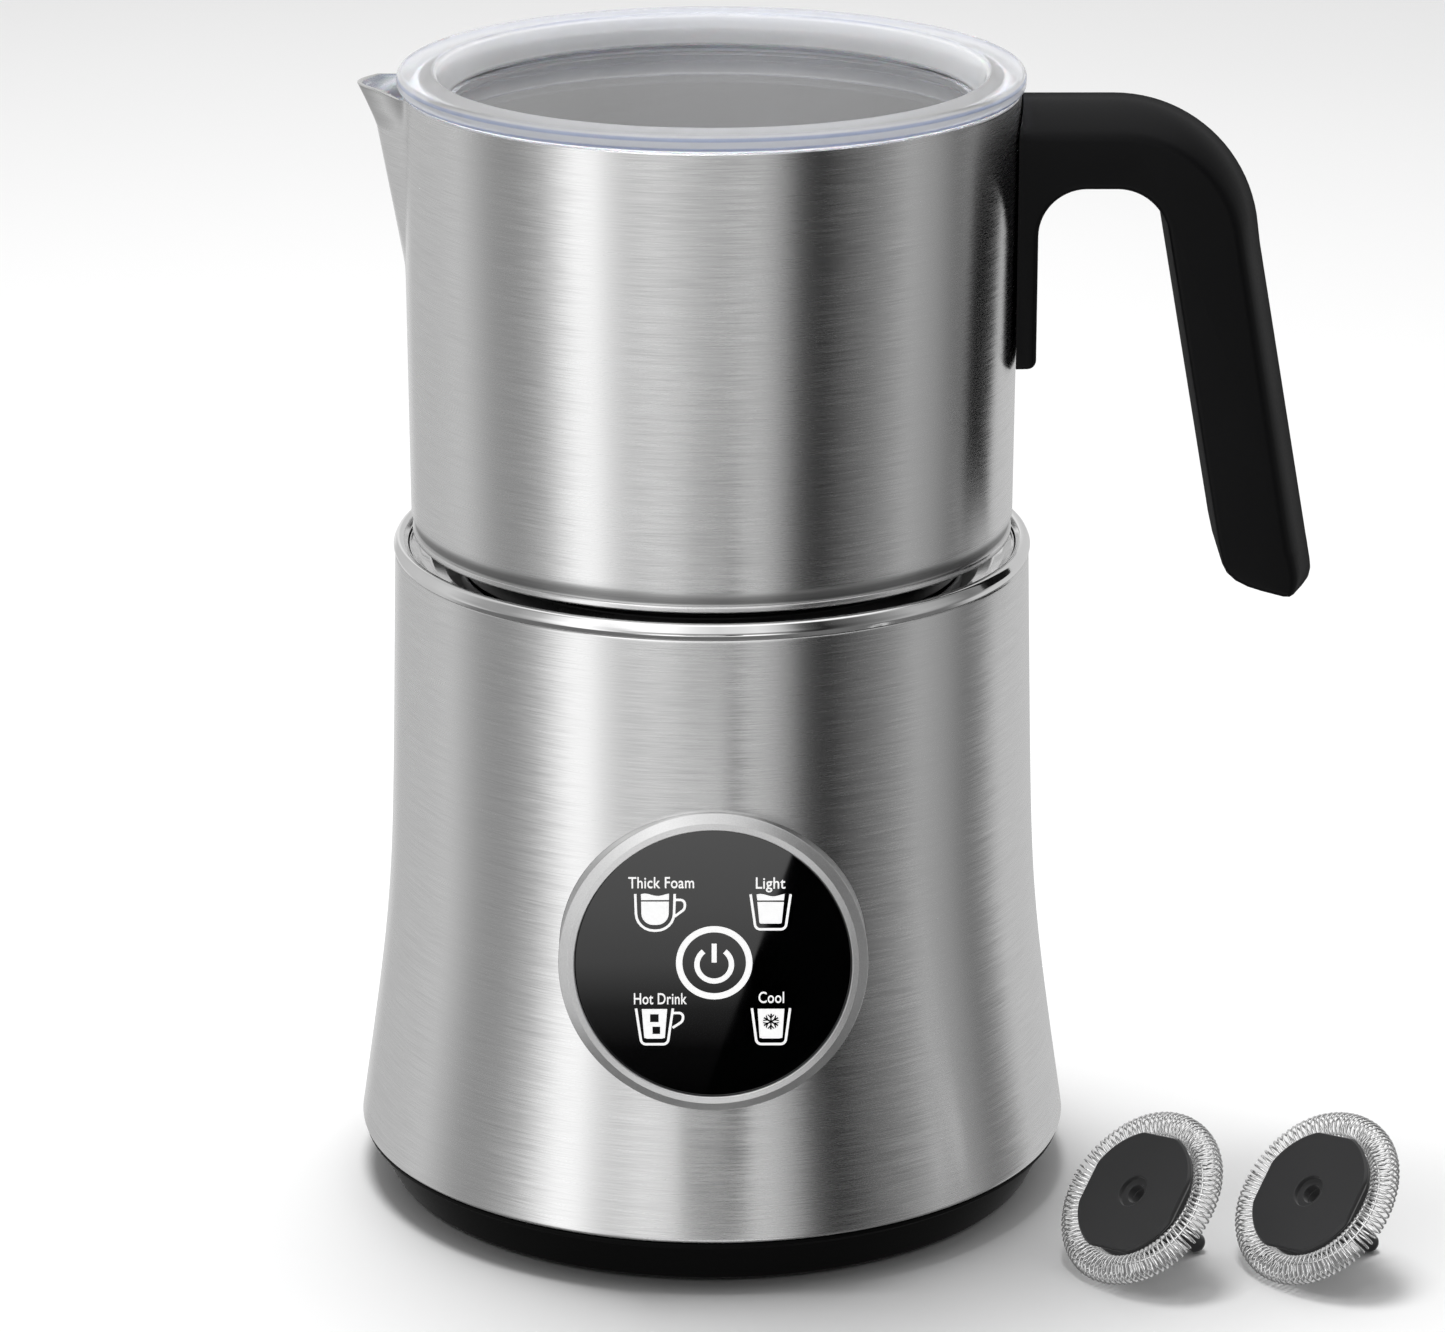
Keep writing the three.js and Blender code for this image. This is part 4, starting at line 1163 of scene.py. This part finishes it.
def circle(radius, z, count):
    turn = [2 * math.pi * k / count for k in range(count)]
    return [Vector((radius * math.cos(a), radius * math.sin(a), z)) for a in turn]


def add_wire(bm, path, radius, sides=6):
    """Adds a closed round wire along a closed path of points."""
    count = len(path)
    loops = []
    for k, at in enumerate(path):
        way = (path[(k + 1) % count] - path[k - 1]).normalized()
        across = Vector((at.x, at.y, 0)).normalized()
        up = way.cross(across).normalized()
        across = up.cross(way)
        spokes = circle(radius, 0, sides)
        loops.append([bm.verts.new(at + across * spoke.x + up * spoke.y) for spoke in spokes])
    for k in range(count):
        bridge(bm, loops[k], loops[(k + 1) % count])


def whisk_coil(name, seed):
    """A wire wound round a ring, a little uneven as real ones are, over its two guide wires."""
    bm = bmesh.new()
    turn_steps = 14
    total = COIL_TURNS * turn_steps
    path = []
    for k in range(total):
        along = 2 * math.pi * k / total
        wobble = 0.16 * math.sin(7 * along + seed) + 0.1 * math.sin(17 * along + 2 * seed)
        around = 2 * math.pi * k / turn_steps + wobble
        reach = COIL_R - WIRE_R - 0.04 * (1 + math.sin(5 * along + seed))
        turn = along + 0.006 * math.sin(23 * along + seed)
        r = COIL_RING_R + reach * math.cos(around)
        path.append(Vector((r * math.cos(turn), r * math.sin(turn), reach * math.sin(around))))
    add_wire(bm, path, WIRE_R)
    for z in (-GUIDE_Z, GUIDE_Z):
        add_wire(bm, circle(COIL_RING_R - 1.9, z, 96), GUIDE_R)
    bmesh.ops.transform(bm, matrix=whisk_place(name), verts=bm.verts)
    return finish_mesh(f"{name}_winding", bm, MAT["wire_steel"], 80)


def whisk_disc(name):
    """The underside disc: chamfered, with four short flats, a bore and a wider sunk ring round it."""
    outline = [
        (WHISK_BORE_R, -0.05, 0.1), (WHISK_BORE_R, -1.6, 0.1), (2.9, -1.6, 0.1), (2.9, -2.6, 0.15),
        (DISC_R + 0.45, -2.6, 0.12), (DISC_R + 0.85, -2.2, 0.15), (DISC_R + 0.8, -1.9, 0.2),
        (DISC_R, -1.1, 0.2), (DISC_R, -0.05, 0.1),
    ]
    bm = bmesh.new()
    add_lathe(bm, rounded(outline, closed=True), 96, closed=True)
    for v in bm.verts:
        r = math.hypot(v.co.x, v.co.y)
        if r < 6:
            continue
        angle = math.atan2(v.co.y, v.co.x)
        for flat in (20, 110, 200, 290):
            off = math.remainder(angle - math.radians(flat), 2 * math.pi)
            limit = (r - 0.5 * (r / DISC_R) ** 6) / math.cos(off) if abs(off) < 0.36 else r
            if limit < r:
                v.co.x *= limit / r
                v.co.y *= limit / r
                r = limit
    bmesh.ops.transform(bm, matrix=whisk_place(name), verts=bm.verts)
    return finish_mesh(f"{name}_underside", bm, MAT["whisk_black"], 24, even=True)


def whisk_stem(name):
    outline = [
        (WHISK_BORE_R, 0.1, 0), (11.0, 0.1, 0.2), (11.0, 1.6, 0.3), (9.6, 2.4, 0.4), (3.6, 3.0, 0.8),
        (STEM_R, 5.0, 1.5), (STEM_R - 0.1, STEM_LENGTH, 0),
    ]
    profile = rounded(outline)
    profile += arc(0, STEM_LENGTH, STEM_R, 10, 90, 8)[:-1] + [(0, STEM_LENGTH + STEM_R)]
    bore = [(0, 1.4), (WHISK_BORE_R, 1.4)]
    return lathe(f"{name}_handle", bore + profile, MAT["whisk_black"], 64, place=whisk_place(name))


# ------------------------------------------------------------------ assembly

PIECES = [
    (base_shell, "base", "brushed_steel", ["base_shell"]),
    (base_rim, "base", "polished_steel", ["base_rim_ring"]),
    (seat_tray, "base", "polished_steel", ["seat_tray"]),
    (jug_seat, "base", "seat_black", ["jug_seat"]),
    (base_pan, "base", "foot_black", ["base_pan"]),
    (control_bezel, "base", "satin_aluminium", ["control_bezel"]),
    (control_glass, "base", "panel_glass", ["control_glass"]),
    (panel_symbols, "base", "panel_glass", []),
    (cord_gland, "base", "inner_black", ["cord_gland"]),
    (sensor_cap, "sensor", "polished_steel", ["sensor_plunger"]),
    (jug_body, "jug", "brushed_steel", ["jug_shell"]),
    (jug_base, "jug", "polished_steel", ["jug_base_disc"]),
    (spindle, "jug", "polished_steel", ["whisk_spindle"]),
    (handle_body, "jug", "handle_black", ["handle_grip"]),
    (lid_body, "lid", "clear_plastic", ["lid_cover"]),
    (lid_gasket, "lid", "silicone", ["lid_seal"]),
]


def place_piece(piece, body, nodes):
    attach(piece, body)
    if nodes:
        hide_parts(*nodes)


for build, body, slot, nodes in PIECES:
    place_piece(build(), body, nodes)

for name, words, x, y, width in LABELS:
    place_piece(panel_label(name, words, x, y, width, 1.95), "base", [])

place_piece(rubber_foot("centre_pad", 10, 0, 0), "base", ["centre_foot"])
for k in range(4):
    angle = math.radians(45 + 90 * k)
    pad = rubber_foot(f"rubber_pad_{k + 1}", 6, 42 * math.cos(angle), 42 * math.sin(angle))
    place_piece(pad, "base", [f"rubber_foot_{k + 1}"])

for k, z in enumerate((158, 168), 1):
    place_piece(handle_screw(f"handle_screw_head_{k}", z), "jug", [f"handle_screw_{k}"])

for k, name in enumerate(("whisk", "loose_whisk_a", "loose_whisk_b")):
    rows = [(whisk_coil(name, 1.3 * k), "wire_steel", "coil"), (whisk_disc(name), "whisk_black", "disc"),
            (whisk_stem(name), "whisk_black", "stem")]
    for piece, slot, part in rows:
        piece.visible_glossy = False
        place_piece(piece, name, [f"{name}_{part}"])

# The CAD nodes' own meshes, which stay where no piece replaces them
for row in frame["record"]["subparts"]:
    mesh = frame["nodes"][row["node"]].data
    mesh.materials.clear()
    mesh.materials.append(MAT[row["material_slot"]])

# ------------------------------------------------------------------ studio


def add_floor():
    bm = bmesh.new()
    bmesh.ops.create_circle(bm, cap_ends=True, segments=96, radius=FLOOR_R)
    n = Nodes("floor_white")
    white = n.surface(base_color=n.tint(n.noise(2.0), 0.86, 0.88), roughness=0.9)
    floor = finish_mesh("floor", bm, white)
    floor.visible_glossy = False


# Brightness of the studio walls by direction: degrees round from the camera's side, with the
# handle's side positive
WALLS = [
    (-180, 0.6), (-170, 0.78), (-164, 0.8), (-155, 0.53), (-121, 0.58), (-108, 0.63), (-97, 0.45),
    (-91, 0.35), (-84, 0.32), (-76, 0.34), (-66, 0.52), (-59, 0.9), (-52, 1.25), (-45, 1.24),
    (-39, 0.9), (-32, 0.63), (-19, 0.46), (-7, 0.34), (2, 0.28), (17, 0.32), (26, 0.23),
    (33, 0.055), (41, 0.015), (50, 0.1), (60, 0.19), (69, 0.3), (78, 0.46), (92, 0.34),
    (103, 0.17), (112, 0.26), (123, 0.6), (180, 0.6),
]
WALLS_SCALE = 2.0
CEILING = 1.2
FLOOR = 0.15
NEAR_FLOOR = 1.3
LOW_WALL_BOOST = 1.7
BACKDROP = 0.95


def add_world():
    """What steel reflects is walls in vertical bands, with a bright ceiling and a floor.

    What lights the floor and the plastics is a soft sky from above and behind.
    """
    n = Nodes("studio", world=True)

    def blend(base, other, share):
        return n.plus(n.times(base, n.math("SUBTRACT", 1.0, share)), n.times(other, share))

    def light(value):
        return n.made(n.new("ShaderNodeBackground"), value).outputs[0]

    x, y, z = n.parts()
    azimuth = n.math("ARCTAN2", x, n.times(y, -1.0))
    place = n.plus(n.math("DIVIDE", azimuth, 2 * math.pi), 0.5)
    bands = n.ramp(place, [(degrees / 360 + 0.5, value / WALLS_SCALE) for degrees, value in WALLS])
    in_front = n.math("LESS_THAN", y, 0.0)
    side = n.times(n.smooth(x, -0.6, -0.3), n.smooth(x, 0.75, 0.3))
    level = n.times(n.smooth(z, -0.15, -0.03), in_front)
    low_wall = n.plus(1.0, n.times(n.times(side, level), LOW_WALL_BOOST))
    reflected = blend(n.times(n.times(bands, WALLS_SCALE), low_wall), CEILING, n.smooth(z, 0.7, 0.93))
    reflected = blend(reflected, FLOOR, n.smooth(z, -0.56, -0.68))
    ahead = n.times(n.smooth(n.math("ABSOLUTE", x), 0.45, 0.25), in_front)
    near = n.times(n.smooth(z, -0.46, -0.58), n.smooth(z, -0.82, -0.72))
    reflected = blend(reflected, NEAR_FLOOR, n.times(ahead, near))
    sky = n.times(n.smooth(z, 0.1, 0.7, 0.0, 0.96), n.smooth(y, -0.7, 0.3, 0.1, 1.0))
    path = n.new("ShaderNodeLightPath").outputs
    shiny = n.math("MAXIMUM", path["Is Glossy Ray"], path["Is Transmission Ray"])
    seen = n.either(shiny, light(sky), light(reflected))
    world = n.done(n.either(path["Is Camera Ray"], seen, light((*grey(BACKDROP), 1))))
    world.cycles.sampling_method = "NONE"
    bpy.context.scene.world = world


def add_lamp():
    """A broad round lamp over the object and behind it, which nothing reflects."""
    light = bpy.data.lights.new("overhead", "AREA")
    light.shape = "DISK"
    light.size = LAMP_SIZE
    light.energy = LAMP_POWER
    lamp = bpy.data.objects.new("overhead", light)
    bpy.context.scene.collection.objects.link(lamp)
    lamp.location = LAMP_AT
    lamp.rotation_euler = (Vector(LAMP_TARGET) - Vector(LAMP_AT)).to_track_quat("-Z", "Y").to_euler()
    lamp.visible_camera = False
    lamp.visible_glossy = False


def add_camera():
    data = bpy.data.cameras.new("camera")
    data.lens = CAMERA_LENS
    data.sensor_width = CAMERA_SENSOR
    data.dof.use_dof = False
    camera = bpy.data.objects.new("camera", data)
    bpy.context.scene.collection.objects.link(camera)
    camera.location = CAMERA_AT
    camera.rotation_euler = (math.pi / 2 - CAMERA_DIP, 0, CAMERA_TURN)
    bpy.context.scene.camera = camera


def card_light():
    """Light that is bright at the upper left, dark beyond a slanted edge, and fades towards the foot."""
    n = Nodes("card_light")
    across, up = n.parts()[:2]
    slant = n.plus(n.times(across, CARD_SIDE), n.times(up, CARD_SLANT))
    lit = n.spread(slant, 1.0, 0.0, 0.0073, 0.0077)
    rise = n.ramp(n.spread(up, 0.0, 1.0, -0.029, 0.029), [
        (0.0, 0.0), (0.22, 0.02), (0.35, 0.14), (0.5, 0.5), (0.7, 0.66), (1.0, 0.8),
    ])
    strength = n.times(n.times(rise, lit), 0.95)
    material = n.done(n.made(n.new("ShaderNodeEmission"), strength=strength).outputs[0])
    material.cycles.emission_sampling = "NONE"
    return material


def add_panel_card():
    """A card, seen only in reflections, where the camera sees it mirrored in the touch panel."""
    centre = Vector((0, PANEL_FRONT_Y, PANEL_Z)) * MM
    outward = Vector((0, -math.cos(PANEL_TILT), math.sin(PANEL_TILT)))
    way = (centre - Vector(CAMERA_AT)).normalized().reflect(outward)
    bm = bmesh.new()
    bmesh.ops.create_circle(bm, cap_ends=True, segments=64, radius=CARD_R)
    card = finish_mesh("panel_card", bm, card_light())
    facing_back = way.to_track_quat("-Z", "Y").to_matrix().to_4x4()
    card.matrix_world = Matrix.Translation(centre + way * CARD_AWAY * MM) @ facing_back
    for kind in ("camera", "diffuse", "transmission", "volume_scatter", "shadow"):
        setattr(card, f"visible_{kind}", False)


add_floor()
add_world()
add_lamp()
add_camera()
add_panel_card()
bpy.context.scene.view_settings.view_transform = "Standard"
